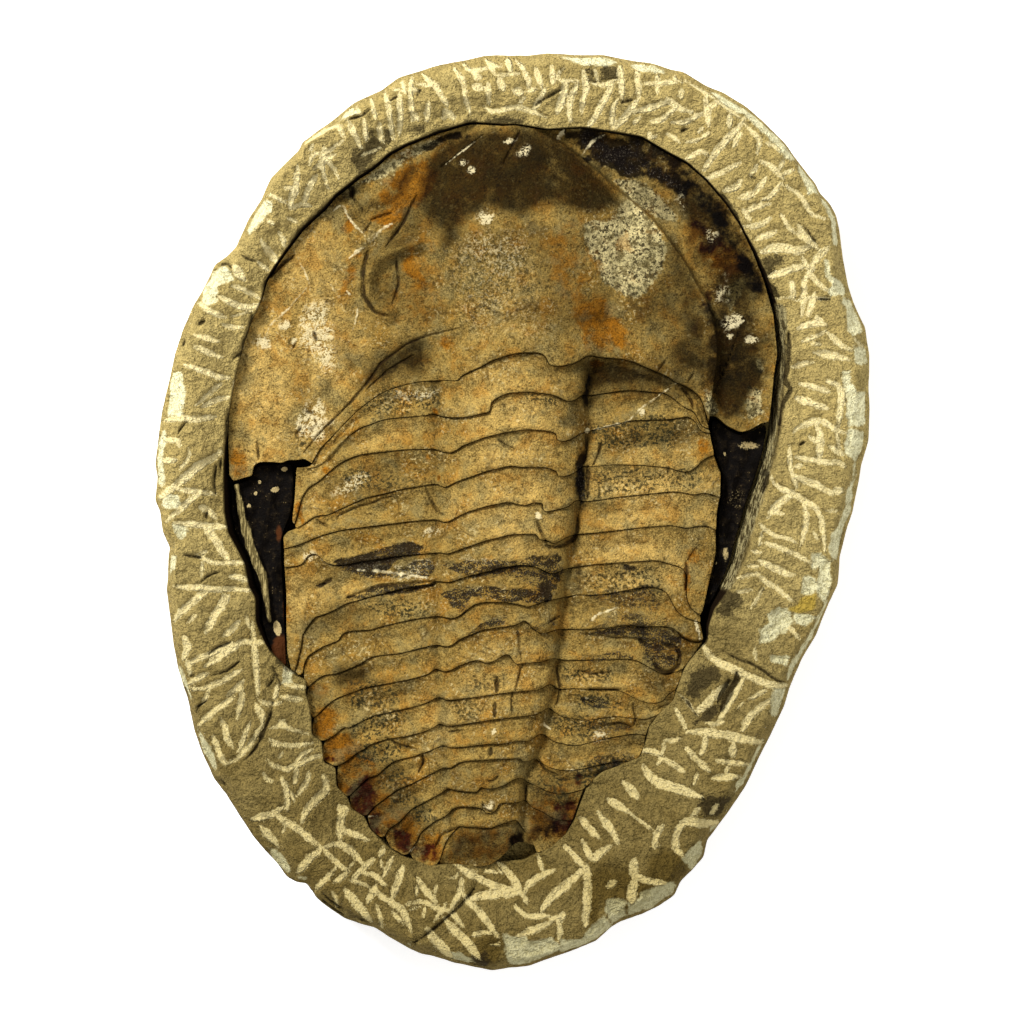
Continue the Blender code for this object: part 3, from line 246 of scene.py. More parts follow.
# Strokes are (width, x, y, x, y, ...) and areas (x, y, x, y, ...)
# Cream tool marks cut into the stone round the fossil
TOOL_MARKS = [
    (1.2, -25.4, 124.2, -23.8, 122.2, -21.9, 120.7, -18.4, 115.2),
    (1.1, -28.3, 123.4, -28.7, 119.9, -28.1, 110.9), (1, -31.2, 122.2, -30.2, 118.3),
    (1.3, -31.8, 118.3, -31.6, 110.9, -31.9, 106.7), (1.1, -36.4, 119.5, -34.9, 115.2, -33.7, 105.5),
    (0.9, -39.9, 117.2, -38.5, 111.3), (1.1, -37.4, 109.8, -37.4, 107.1, -36.4, 104.7),
    (1, -41.7, 110.9, -41.3, 105.1), (1.2, -46.3, 110.6, -42.6, 102.8), (0.8, -49, 109, -47.3, 105.5),
    (0.8, -47.5, 105.1, -53.7, 100.8), (0.9, -52.9, 103.6, -53.7, 100.8, -53.5, 95.8, -51.8, 91.1),
    (0.9, -53.5, 100.8, -50.2, 96.9, -49.2, 94.4), (0.8, -49.8, 101.2, -51.8, 100.1, -56, 96.9),
    (0.9, -54.5, 101.6, -56, 101.2, -56.8, 100, -57.2, 97.7),
    (1.3, -60.5, 97.7, -61.1, 91.5, -62.3, 88.8, -63, 85.7), (1.2, -55.3, 95, -56.8, 93.1, -59.1, 87.2),
    (0.9, -56.8, 86.8, -59.5, 87.2, -63, 85.7), (0.8, -69.1, 90, -64.1, 87.6),
    (0.7, -64.6, 91.7, -62.3, 91.3, -61.1, 92.3), (1, -66.1, 79.3, -65, 77.6, -64.4, 75.4),
    (0.8, -63.4, 83.3, -60.9, 82.1), (0.5, -42.8, 100.8, -37.4, 103.2),
    (1.3, -23.6, 115.6, -24.2, 110.9), (0.9, -27.3, 112.9, -26.7, 110.9),
    (1.3, -18.8, 113.7, -19.3, 110.9), (1.1, -17.6, 113.3, -16.4, 110.9),
    (0.7, -27.3, 121.2, -24.2, 120.5, -20.7, 121), (0.6, -44, 114.8, -42.6, 111.7),
    (0.9, -58.8, 104.3, -51.8, 108.6, -47.9, 109.4), (0.8, -33.9, 119.7, -31, 119.5),
    (0.8, -28.6, 119.4, -26.5, 119.1), (0.8, -56, 103.9, -57.2, 102), (0.8, -69, 82.6, -67.5, 81.4),
    (1.3, -70.9, 76.7, -69.5, 74.4, -66.3, 70.4), (1.8, -78.6, 69.5, -75.8, 65.8),
    (1, -72.2, 70.8, -69.1, 68.6), (1.2, -16.4, 125.9, -13.7, 121.3, -13.3, 117.4, -11.7, 112.7),
    (0.9, -13.7, 127.1, -12.5, 125.1, -11, 124.9, -2.8, 126.3), (0.9, -7.5, 128.6, -4.7, 123.6),
    (0.7, -7, 127.9, -4.7, 126.7), (1.2, -1.2, 128.8, -0.3, 123.6), (0.8, -4.7, 123.4, 1.9, 123.8),
    (1, 1.1, 128.2, 3, 125.9, 3.8, 123.6, 5, 121.6, 4.6, 119.7), (1.2, 6.5, 125.9, 8.5, 119.7),
    (1.3, 9.6, 120.1, 8.5, 117.7, 6.1, 113.9),
    (1, -7.9, 115, -6.7, 113.7, -3.6, 113.5, -0.9, 114.4, 2.3, 114.6, 9.6, 111.9),
    (1.2, -6.7, 121.3, -6.5, 115.4), (1.5, -3.6, 122.4, -2.4, 119.3), (1.5, -11, 123.2, -8.6, 122.8),
    (1.8, -11, 120.5, -8.6, 119.7), (1.5, 0.3, 119.3, 3, 118.5), (1, 4.6, 118.9, 6.9, 119.7),
    (0.7, 2.3, 115.8, 3.8, 117.4), (0.8, 15.1, 125.5, 13.1, 124, 12.8, 122.8, 14.3, 121.6, 18.6, 122),
    (1.1, 11.2, 126.3, 11.6, 120.9), (1.5, 15.5, 121.6, 14.7, 118.1, 12.6, 112.7),
    (1.4, 18.6, 121.3, 17, 118.1, 16.3, 115, 16.3, 111.9, 16.6, 110.8),
    (1.3, 20.1, 124.8, 21.1, 119.3, 20.1, 116.6, 19.6, 112.7), (0.6, 23.3, 125.5, 24.2, 122),
    (1.1, 22.9, 121, 26.4, 120.7, 29.1, 122), (1.5, 28.3, 120.9, 26.7, 117.4, 22.9, 110.8, 21.7, 109.6),
    (1.5, 30.6, 126.3, 31.2, 116.6), (1.2, 29.9, 116.6, 28.5, 114.3, 28.1, 109.2),
    (1.5, 35.3, 124.8, 35.3, 122, 35.9, 119.7, 35.7, 117.4), (1.4, 35.9, 117, 31.8, 111.5, 28.9, 108.8),
    (0.9, 34.5, 110, 36.3, 111.9), (1.2, 33.9, 113.1, 40.5, 114.6, 43.6, 116, 45.5, 116.4),
    (1, 35.8, 120.9, 48.2, 121.6), (1, 41.2, 123.8, 41, 118.3), (0.7, 46.1, 123.6, 46.1, 122),
    (1.3, 47.9, 119.5, 47.9, 116.8), (0.7, 49, 122.2, 55.6, 118.1, 65, 110.9),
    (1.1, 44, 116.8, 47.9, 113.7, 51, 113.1), (1.2, 39.7, 110.4, 42.4, 111.1, 46.3, 114.4),
    (1, 45.1, 110.4, 47.9, 110, 50.6, 110.9, 52.9, 112.3, 54.7, 112.9), (1.2, 54.9, 117.5, 55.6, 109),
    (1.5, 58, 116, 56, 114.4), (1.3, 61.5, 112.1, 61.5, 109),
    (1.5, 65.7, 111.3, 63.8, 108.2, 61.1, 105.9, 58.7, 103.2, 54.3, 96.9),
    (0.8, 65, 107.4, 63.4, 105.1, 62.6, 103.2),
    (0.8, 65.7, 109.8, 67.7, 107.4, 70, 105.5, 69.8, 103.2, 69.2, 101.2),
    (0.9, 71.6, 104.3, 74.3, 103.6, 75.8, 102), (1.1, 70, 99.3, 72.7, 98.1, 77, 94.2),
    (0.8, 77, 100.2, 75.5, 96.2), (0.8, 79.7, 96.9, 77.4, 95.8, 75.5, 95.4),
    (0.9, 75.8, 93.1, 81.3, 90, 84.8, 84.1, 89.1, 82.8),
    (0.9, 75.8, 93.1, 74.7, 91.1, 72.7, 88.8, 70.8, 88.4), (1.1, 69.6, 98.5, 67.3, 95),
    (1.1, 64.6, 98.9, 59.5, 96.2, 54.5, 94.2), (1.2, 65, 94.2, 63.4, 91.9, 59.9, 91.1),
    (1.3, 72, 94.6, 69.2, 90.7, 66.9, 89.5, 64.2, 88.8), (1.2, 73.1, 87.4, 68.1, 86.1, 66.1, 84.9),
    (0.8, 65.4, 85.7, 67.7, 82.4), (1.1, 73.5, 83.5, 71.2, 81.7, 68.5, 80.8, 65.7, 80.8),
    (1.1, 74.7, 79.4, 69.2, 77.3), (0.8, 76.2, 84.5, 77.2, 82.2, 78.6, 80.2, 80.1, 79.1),
    (1.4, 81.1, 81.2, 82.6, 78.5, 84.2, 76.5, 86.7, 74.7), (1, 80.9, 79.1, 82.1, 77.1),
    (2, 70.6, 73.8, 73.7, 74.8, 77.2, 74.9, 80.1, 74.2, 84, 74.7), (0.8, 54.1, 108.6, 52.9, 107.4),
    (0.9, 56, 107.4, 53.7, 105.9), (0.7, 49.4, 104.7, 52.1, 105.1, 54.1, 105.9),
    (1, 55.6, 101.2, 53.3, 102.4, 49.4, 100), (0.8, 43.6, 107.4, 46.3, 105.9, 47.5, 104.7),
    (1, 38.5, 107.8, 39.3, 105.9, 40.9, 106.7), (1.6, 89.8, 75.1, 86.3, 72, 85.2, 70.5),
    (1.1, 82.1, 72, 83.6, 70.1, 84.4, 67.8, 85.6, 65.8, 87.5, 63.9, 89.4, 62.7),
    (1, 84.8, 70.5, 85.2, 68.1), (1.4, 72.7, 66.6, 80.9, 69.3, 83.2, 69.7),
    (1.1, 84, 68.1, 82.8, 65, 82.1, 55.3), (1.3, 79.3, 65.4, 79.7, 60.4),
    (1.2, 85.6, 61.9, 85.2, 59.6, 83.6, 55.7), (0.7, 80.5, 60, 83.2, 60.6, 89.8, 60.4),
    (1.2, 80.9, 51.8, 83.6, 53, 86.3, 53.4, 88.7, 53), (0.8, 85.9, 55.3, 87.5, 54.1),
    (0.9, 82.1, 48.3, 86.7, 49.9, 88.7, 51.2), (0.8, 84.8, 47.7, 87.5, 47.5),
    (1.3, 89.4, 50.6, 94.1, 46.4, 96, 46), (0.7, 96.4, 49.9, 100.3, 46), (1.5, 85.6, 45.2, 95.7, 43.1),
    (1.1, 79.3, 41.1, 84, 42.3, 85.6, 42.3), (1.2, 81.7, 36.3, 84, 35.9, 89.8, 33.9),
    (1.5, 89.4, 37, 92.2, 36.1, 93.3, 33.9, 92.3, 24), (1.5, 80.5, 32.4, 83.2, 31.2, 89.4, 29.3),
    (0.4, 72.7, 60.4, 79.7, 60.8),
    (1.2, 79.5, 22.4, 81, 24, 86, 26, 88.2, 25.6, 90.4, 24, 93, 22.7, 95, 22.3),
    (1.4, 86.2, 25.3, 87.3, 22, 87, 14.2), (0.6, 91.9, 23, 92.2, 20, 93, 17.5),
    (0.9, 84.2, 21.5, 86, 19.5), (1.2, 90, 18.7, 93.4, 16.2),
    (1.1, 80.5, 15.5, 90, 13.9, 93, 14.1, 94.2, 12.6), (0.8, 80.3, 12.8, 82, 13.2),
    (1, 78.7, 18.6, 78.6, 15.5, 79, 12.5, 80.6, 7), (1.5, 80.6, 10, 86, 7.8, 91, 5),
    (1.6, 91, 5.8, 94, 5.9),
    (1.2, 73, 11, 74, 8.5, 76, 6.8, 79, 5.5, 86, 1.5, 87.4, -1, 88, -4, 88.6, -11),
    (1.5, 72.4, -1.8, 73.3, 0, 77, 3.5, 79.5, 4.7), (0.7, 73, -0.2, 75.5, -0.2, 77.2, -0.6),
    (1.2, 82.8, 3, 83.5, -2.5, 81.8, -9.8), (0.5, 88.8, 0.4, 92.5, 0.2),
    (0.8, 70.2, -3.3, 72, -5.2, 74.5, -6.6, 77, -7.4, 79.3, -7.7, 80.5, -9),
    (0.6, 71, -5.5, 70.1, -9.5), (1, 71.8, -8.8, 75, -9.7, 81, -12.3, 84.8, -14.4),
    (0.7, 85.5, -5.5, 86.5, -8), (0.8, 68, -11.2, 70.5, -11.5), (1.4, 70, -13.8, 77.5, -17.3, 80, -18),
    (0.7, 67, -15.4, 70, -15.4),
    (1, 64, -18.8, 67, -17.8, 69.5, -17.5, 71.5, -19.6, 74.5, -21.1, 79.5, -25.3),
    (0.7, 64, -22.8, 68, -22), (0.6, 71.2, -21.5, 67.6, -27.8), (0.9, 78.6, -32.5, 81.4, -36),
    (0.6, 69, -38, 68.8, -40.5, 69.3, -42),
    (1.6, 54.5, -38, 56.5, -41.5, 59.5, -43.2, 72, -48.6, 75, -49.5, 78, -49.2),
    (1.3, 66, -47, 58.5, -59.5), (0.6, 68.5, -47.8, 71, -49), (0.8, 72, -50.5, 67, -53.3),
    (0.6, 65.6, -54, 64, -55.8), (1.5, 73, -53.3, 68, -57.5, 66.5, -59.5, 65.3, -62),
    (0.8, 60, -59.6, 57, -60.3, 55, -60), (1.8, 50, -62.6, 53, -62.3, 61, -63.3, 71, -65.6),
    (1, 55.3, -63.8, 53.7, -69), (1.8, 62.8, -66, 62.6, -69.5), (1, 58, -70.5, 67.3, -71.8),
    (0.8, 46.5, -56, 49.3, -61, 49.5, -63), (0.6, 47.5, -51.8, 49.5, -53.5, 52.8, -58),
    (1.8, 61, -49, 58, -51.5, 52.5, -57), (1, 43.3, -65, 46, -65, 48, -64.5),
    (0.7, 43.3, -65.5, 42.8, -69), (1.2, 49.6, -67, 51, -69, 56, -73.5),
    (1.3, 36.5, -68, 38.5, -67.8, 41, -68.3, 42.8, -69.4), (1.1, 43, -70.2, 46, -71.8, 48.7, -73.8),
    (1, 43, -69.5, 41.5, -71.5), (1.6, 31.7, -77, 35.7, -81.3),
    (1.8, 37.5, -72.2, 39, -75, 41.5, -77.5, 48, -78.8, 54, -81), (1, 41, -76, 49.5, -79),
    (0.7, 52.8, -74, 51.7, -77), (1.4, 57, -75.5, 64.5, -75), (0.8, 61.5, -72, 60.5, -74),
    (1.2, 58.5, -82.5, 56.5, -86), (1, 53, -84, 51.3, -86),
    (2, 48, -88.2, 50, -87.8, 53, -88.5, 56, -88.3, 58.5, -88.6),
    (1.6, 49, -88, 47.3, -90, 46.3, -93, 46.7, -96, 48.5, -97.5), (1.6, 24, -85, 28, -90, 30.3, -94),
    (1.6, 27.5, -82, 33, -85.3), (0.6, 33, -85.3, 39.5, -90), (1.4, 19.5, -87, 21, -89, 25, -93),
    (1.2, 20, -93.5, 22.7, -99), (1.2, 15, -95.3, 17, -97, 20.5, -101),
    (1.8, 19.5, -102, 17, -104.5, 11, -109.5, 8.5, -113), (1.7, 28, -95, 25.5, -96.5, 23.3, -99),
    (1.8, 21.3, -100, 21.6, -108, 20.8, -117.5), (1.6, 29.5, -105, 27, -106.3),
    (1.2, 42.8, -89, 41, -91.5, 40, -95), (1.7, 34.7, -98.5, 34.4, -102, 34.8, -104),
    (2.2, 35, -104, 34, -108, 34, -111.5), (1.3, 35.5, -103.5, 38, -104.7, 43.5, -105.5),
    (0.4, 39.5, -95.5, 42, -94.8), (1.5, -17, -99.5, -14, -102, -10.5, -104, -4, -106.8, 3, -108.5),
    (1.4, -4, -99.7, 0, -104, 3, -109), (1.3, 3.5, -108.5, 4.7, -106, 7, -104.3, 12.3, -101.7),
    (0.8, 7.5, -97.5, 8, -100, 9, -102.5), (1.5, -12, -110.3, -9, -109, -5, -109, 3, -108),
    (1, 3, -108.5, 4.5, -111.5), (1.1, 0.8, -112, 3.5, -114.5, 5, -115, 10.3, -114.7),
    (0.8, -16.7, -99.3, -14.5, -101.5), (0.5, -13.5, -102.1, -10, -102.2),
    (0.7, -8, -102.3, -4.5, -102.5), (0.7, -4, -101.7, -2.7, -103),
    (0.4, -15.2, -102.4, -15.5, -103.8, -17.7, -104.3), (1.3, -14.4, -104.5, -14.6, -108, -17.5, -113),
    (1.4, -14.5, -107.5, -13, -110, -8, -115, -4, -120.5), (1.4, -27, -104, -25.5, -106.5, -21.7, -111),
    (0.6, -27, -106, -27, -109), (1, -30, -111.2, -24.5, -110.8, -22, -112.5, -19.5, -113),
    (0.6, -29, -113, -26, -112), (0.8, -24.5, -112, -25.3, -115), (0.7, -18.5, -111.2, -22, -116),
    (0.7, -21.4, -106.3, -22, -108.5), (1, -19.5, -113, -17.5, -113.2, -13.7, -117.8),
    (1.9, -19.3, -115, -17, -118.5, -14, -120.5, -9, -127), (2.2, -24, -118.5, -20, -124, -17, -126.5),
    (0.9, -11.2, -120, -8, -119.2, -5.5, -119.6), (0.6, -6, -122.8, -3.5, -122.5),
    (1.5, 1.5, -120.4, 11.5, -116.3), (1.2, 13, -115, 13.7, -118, 13.5, -121.5),
    (1.3, 14.5, -113.7, 14, -116), (0.8, 13, -114.7, 10, -116.5),
    (0.9, -68, -66.2, -61, -66.4, -56.8, -65.6), (0.7, -66, -69.7, -65, -68),
    (1, -61.5, -71.5, -60, -69, -57, -67.7),
    (1.1, -69.5, -70.5, -67, -72.2, -64, -73.3, -62.5, -72.3, -60.5, -71.8, -57.5, -70, -54.3, -69.3),
    (1, -61, -72.5, -61.7, -77), (1.1, -57.6, -74, -58.3, -77, -61, -80.5),
    (1.6, -53.6, -74.8, -52.8, -77, -53, -79.5, -57.5, -83.5, -59, -86, -59.5, -88),
    (1.2, -65.5, -75.2, -64.2, -77.5, -63.7, -81, -63.8, -84.5),
    (0.8, -70.5, -73.8, -69.5, -76, -67.3, -76.4), (0.8, -62.5, -79.5, -62, -82),
    (1.5, -74, -87.5, -71, -86.2, -68.5, -86, -64.5, -83.5), (1.5, -67, -86, -60, -90.5, -54.3, -95),
    (1.6, -71.5, -89, -66.5, -95), (0.5, -64.2, -88.8, -65, -91),
    (1.6, -49.3, -83.8, -48.2, -86, -49, -88.5, -49, -92.5), (0.8, -48.8, -83.7, -46.8, -85),
    (1.2, -49, -89.8, -41, -93.5),
    (1.3, -53.5, -95.3, -51, -94.3, -48.5, -94.5, -46, -96, -42.5, -99.8),
    (1, -54.2, -94.8, -50, -99.3, -47.5, -101.3, -46, -102),
    (1.7, -54, -95.5, -56.5, -97.5, -61, -102.5), (1.2, -50, -101, -56, -107.5),
    (1, -46.5, -102.5, -50.5, -105), (1.4, -39.5, -98.7, -45.5, -104.5),
    (1.1, -42.5, -102.7, -40, -102.8, -37.5, -104.3, -36, -106),
    (0.9, -46, -104.5, -43, -105.3, -40.5, -106.5), (0.9, -34, -98.3, -36.5, -103.7),
    (1, -36.5, -95.3, -37.6, -98), (0.5, -37.3, -99.3, -37, -101), (0.6, -45, -99.5, -46, -100.7),
    (1.5, -31, -100.7, -34, -110), (1.2, -38.5, -106, -40, -108.5, -41, -111),
    (1.3, -39, -107.5, -36.5, -109.5, -31.5, -112.5, -30, -115, -28.5, -119.5),
    (0.9, -34, -113.5, -30.8, -117), (0.8, -38.5, -111.5, -37.5, -114.5, -37, -118.5),
    (1.8, -47.5, -107, -44, -111, -42, -114, -40, -116), (0.8, -51, -107.7, -50, -109.5, -49.8, -112),
    (1.4, -86, -22.2, -89, -24.3, -94.5, -29, -96, -31), (1.6, -81.5, -23.5, -83, -27, -87, -34.5),
    (0.6, -89.5, -29.3, -92, -31.5), (1.3, -77.5, -31, -79.5, -33.5, -82, -35.3),
    (1.5, -71, -37, -77, -37, -87, -43.8), (1.2, -79, -37, -82.5, -39, -92, -43),
    (1.5, -93, -35.5, -91.5, -38, -93.5, -42), (1, -92.3, -42, -91, -45.3, -91.5, -46.5),
    (1.2, -73.8, -31, -72, -53), (0.8, -75.5, -29.5, -74.5, -33), (1.2, -86, -45.5, -92, -48.8),
    (1.2, -76.5, -44.7, -82, -48, -88, -50.2, -91.5, -50), (0.8, -85.5, -49.5, -87, -53, -88, -54.5),
    (1.1, -76, -47.5, -78, -50, -80.5, -52), (1.2, -76.8, -49.5, -76.5, -53, -78, -59),
    (1.5, -79, -52.5, -85.5, -57.3, -89, -60.5), (0.9, -72, -53, -70, -54.5, -68.5, -54.6, -65.5, -54),
    (1.3, -73, -54.5, -71, -57, -70.8, -60), (0.9, -65, -49, -59, -50), (1.1, -65.5, -52.5, -60, -53.4),
    (1, -66.5, -49, -67.5, -53), (0.6, -66.5, -60, -64.5, -59),
    (1, -68.5, -61.3, -65, -60.5, -62.5, -62, -58, -63), (0.8, -69, -64.5, -66, -65.8, -62, -66.2),
    (1.3, -82.5, -58.5, -81.3, -61, -80.7, -64, -79, -67), (1, -74, -59.5, -75.5, -62.5, -77.5, -68),
    (0.9, -70.5, -60, -72, -62, -73.5, -65, -75.5, -67.5, -78, -70, -81, -71.5),
    (1.2, -84.7, -63.5, -82.5, -69.5, -81, -72),
    (1.7, -82.5, 17, -85, 15, -88, 13.8, -94, 8.3, -100, 4), (1.3, -88.5, 5.5, -98.3, -3),
    (1.2, -95, 6.5, -84, 5), (1.3, -88.5, 1.3, -86.5, 0.7, -84, -2), (1.3, -96, -3, -80.5, -4.3),
    (1.8, -87.5, -4, -83.5, -8.5, -82.5, -11, -80.3, -13.5),
    (0.9, -90, -12, -87.5, -13, -86, -14, -83, -14.5, -75, -14.3, -74, -15),
    (0.8, -89, -12.5, -86.5, -11), (0.6, -87.7, -14, -88, -18.3),
    (1.1, -96, -21, -92, -21.4, -88, -21.3, -84, -22, -80, -21.8, -76, -22.2, -73, -21.8),
    (1.1, -80, -18.3, -77.5, -18.5, -74.5, -19.5), (1.4, -80.5, -24, -82, -26, -83.3, -29),
    (1.3, -98.5, 26, -94, 26.5, -90, 26.3, -84, 27), (1, -99, 20.5, -94.5, 20.3, -94, 18.5),
    (1, -99, 14.5, -95, 14.6), (0.7, -91.3, 18, -91.3, 15.5, -92.5, 13.5, -94, 12),
    (1, -79, 64, -76, 63, -71.5, 60.8), (1.3, -83, 61, -77, 58, -74, 58, -71, 59),
    (1.1, -89, 59.5, -86, 57, -81, 55), (0.9, -82, 53, -79, 52.3, -76, 52.3),
    (0.4, -79.5, 55.3, -73.5, 57), (1, -90, 50, -83, 48.2), (1.1, -90, 47, -84, 44.3, -82, 43.8),
    (1.3, -92.5, 41.5, -86, 39.5, -83.5, 38.3, -80, 38), (0.9, -82.5, 36.5, -89.5, 30),
    (1.2, -80.5, 32.5, -83.5, 32, -88, 29.5), (0.7, -79, 37, -78.5, 34.5, -79, 32),
]

# Pale fracture facets along the rim
RIM_FACETS = [
    (-46, 115, -43, 113, -50, 110), (12.4, 129.8, 28.3, 129.4, 29.9, 127.5, 26.4, 126.1, 20.1, 126.1),
    (34.1, 127.9, 43.6, 125.7, 43.6, 124.2, 37.2, 124.6, 34.1, 126.3),
    (56.4, 119.5, 66.9, 114, 65.7, 112.5, 61.9, 113.7, 58, 116.8),
    (66.9, 114, 77, 104.5, 80.5, 100, 78.5, 98.8, 74.5, 103.6, 66, 111.8),
    (80.1, 98.5, 82.5, 97.7, 87.1, 90.7, 84, 90),
    (86.8, 90.3, 90, 87.3, 92.2, 83, 92.8, 76, 91, 76, 90.4, 82.5),
    (88.6, 71.4, 89.6, 71, 90.2, 67, 95, 64, 96, 62, 90, 61.2, 89.4, 62.7, 91.5, 64.5, 88.6, 66),
    (93.3, 60, 94.9, 57.3, 94.9, 51.8, 96.4, 49.9, 99.9, 51, 99.9, 53.4, 96.4, 61.1),
    (96.8, 47, 100.9, 47, 100.9, 41.8, 97, 41.8),
    (93.3, 40, 95.7, 40, 95.7, 36.3, 98, 33.9, 100.5, 33.9, 100.8, 24, 95.4, 24.4),
    (95.6, 23.4, 100.4, 22.6, 99.4, 16.6, 97.8, 14.4, 94.2, 16.6, 94.2, 19.6),
    (97, 14, 98.8, 13, 96.8, 0, 95, -4.5, 93, -12.8, 91, -14, 90, -10.5, 91, -6, 93.4, -2, 94.6, 2,
     94.8, 6, 96.6, 9), (85.2, -12.2, 87.4, -11.6, 87.8, -15, 86, -16.8, 84.4, -16),
    (83, -18, 85.8, -18.4, 86.6, -21, 85, -23.4, 82, -23),
    (87, -12, 90.6, -14, 90.4, -20, 88.8, -27, 86.6, -22),
    (72.6, -29, 75.6, -26.6, 79, -28.4, 80, -31, 77.6, -34, 73, -37.4, 70.2, -37, 70.4, -33, 73, -31.4),
    (79, -28.6, 84.6, -29, 86, -30, 83.4, -32.6, 80.4, -31.6),
    (73, -40.6, 79, -41, 78, -43.6, 73.6, -42.4),
    (88.6, -26.4, 89.8, -25.4, 86.2, -34.8, 82.1, -41.6, 78.9, -49, 78, -46, 80.4, -41, 84.4, -35),
    (74, -50, 78.3, -50, 76, -59, 73, -57),
    (72.6, -64, 66.5, -77.6, 63.2, -79.6, 63.6, -76.6, 66, -75.4, 69, -68.6, 71, -65.4),
    (51, -95, 53.5, -93.5, 55, -96.5, 54, -99, 51, -102, 48.5, -98.5),
    (55.5, -92.4, 56.6, -90, 58.6, -89.4, 57, -91.6),
    (36.5, -108, 45, -105, 47, -106, 45.5, -109, 39, -113, 33, -114.6, 33, -111, 36, -110),
    (26.7, -110.5, 29, -109.5, 32, -110.5, 32.5, -115, 28.5, -117, 27, -113),
    (23, -117, 26, -115, 28.6, -118, 25, -121, 20, -124, 14, -126, 14, -121.5, 20, -121),
    (-3, -120, 4, -120.5, 4.5, -122, 11, -121, 14, -124, 6, -127.5, 1, -129, -0.7, -129),
    (-18, -125, -14, -125, -10, -128.4, -13, -128.6, -17, -127.5),
    (-71, -94, -66, -97, -64, -99, -62.5, -103, -64, -104.5, -69, -99.5),
    (-62, -103.5, -58.5, -104, -58.2, -105.6, -61, -105.4),
    (-30, -122.8, -28.5, -122, -28.3, -125, -30.6, -124.6),
    (-89.6, -61, -84.6, -68, -84, -72.6, -85.6, -74, -88, -68.6),
    (-95.8, -43.6, -94, -43.6, -91, -53, -92.4, -53),
    (-62.7, -39.6, -61.4, -41, -62.6, -48.4, -65.4, -48.7, -64.6, -43),
    (-97.6, 40, -93.4, 40, -92.4, 33, -93.6, 27, -98.6, 27, -98.6, 33),
    (-101.4, 24, -98.2, 24, -99, 14, -98.4, 8, -101.4, 6),
    (-98.6, 5, -94.6, 5, -93.6, 1.6, -97, 0.6, -99.6, 2),
    (-96, -3.4, -92, -3.8, -92, -7, -94, -7.4, -95.4, -5.4),
    (-97.4, -12.6, -95, -12.4, -95.4, -16.4, -97.4, -18),
    (-88.6, 62.8, -85, 69, -80.6, 69.6, -78.8, 66, -83, 63.6, -83.6, 59.4, -87, 58),
    (-71, 88.5, -68, 88, -67.5, 85, -69.5, 84, -74.5, 78, -75.4, 80),
]

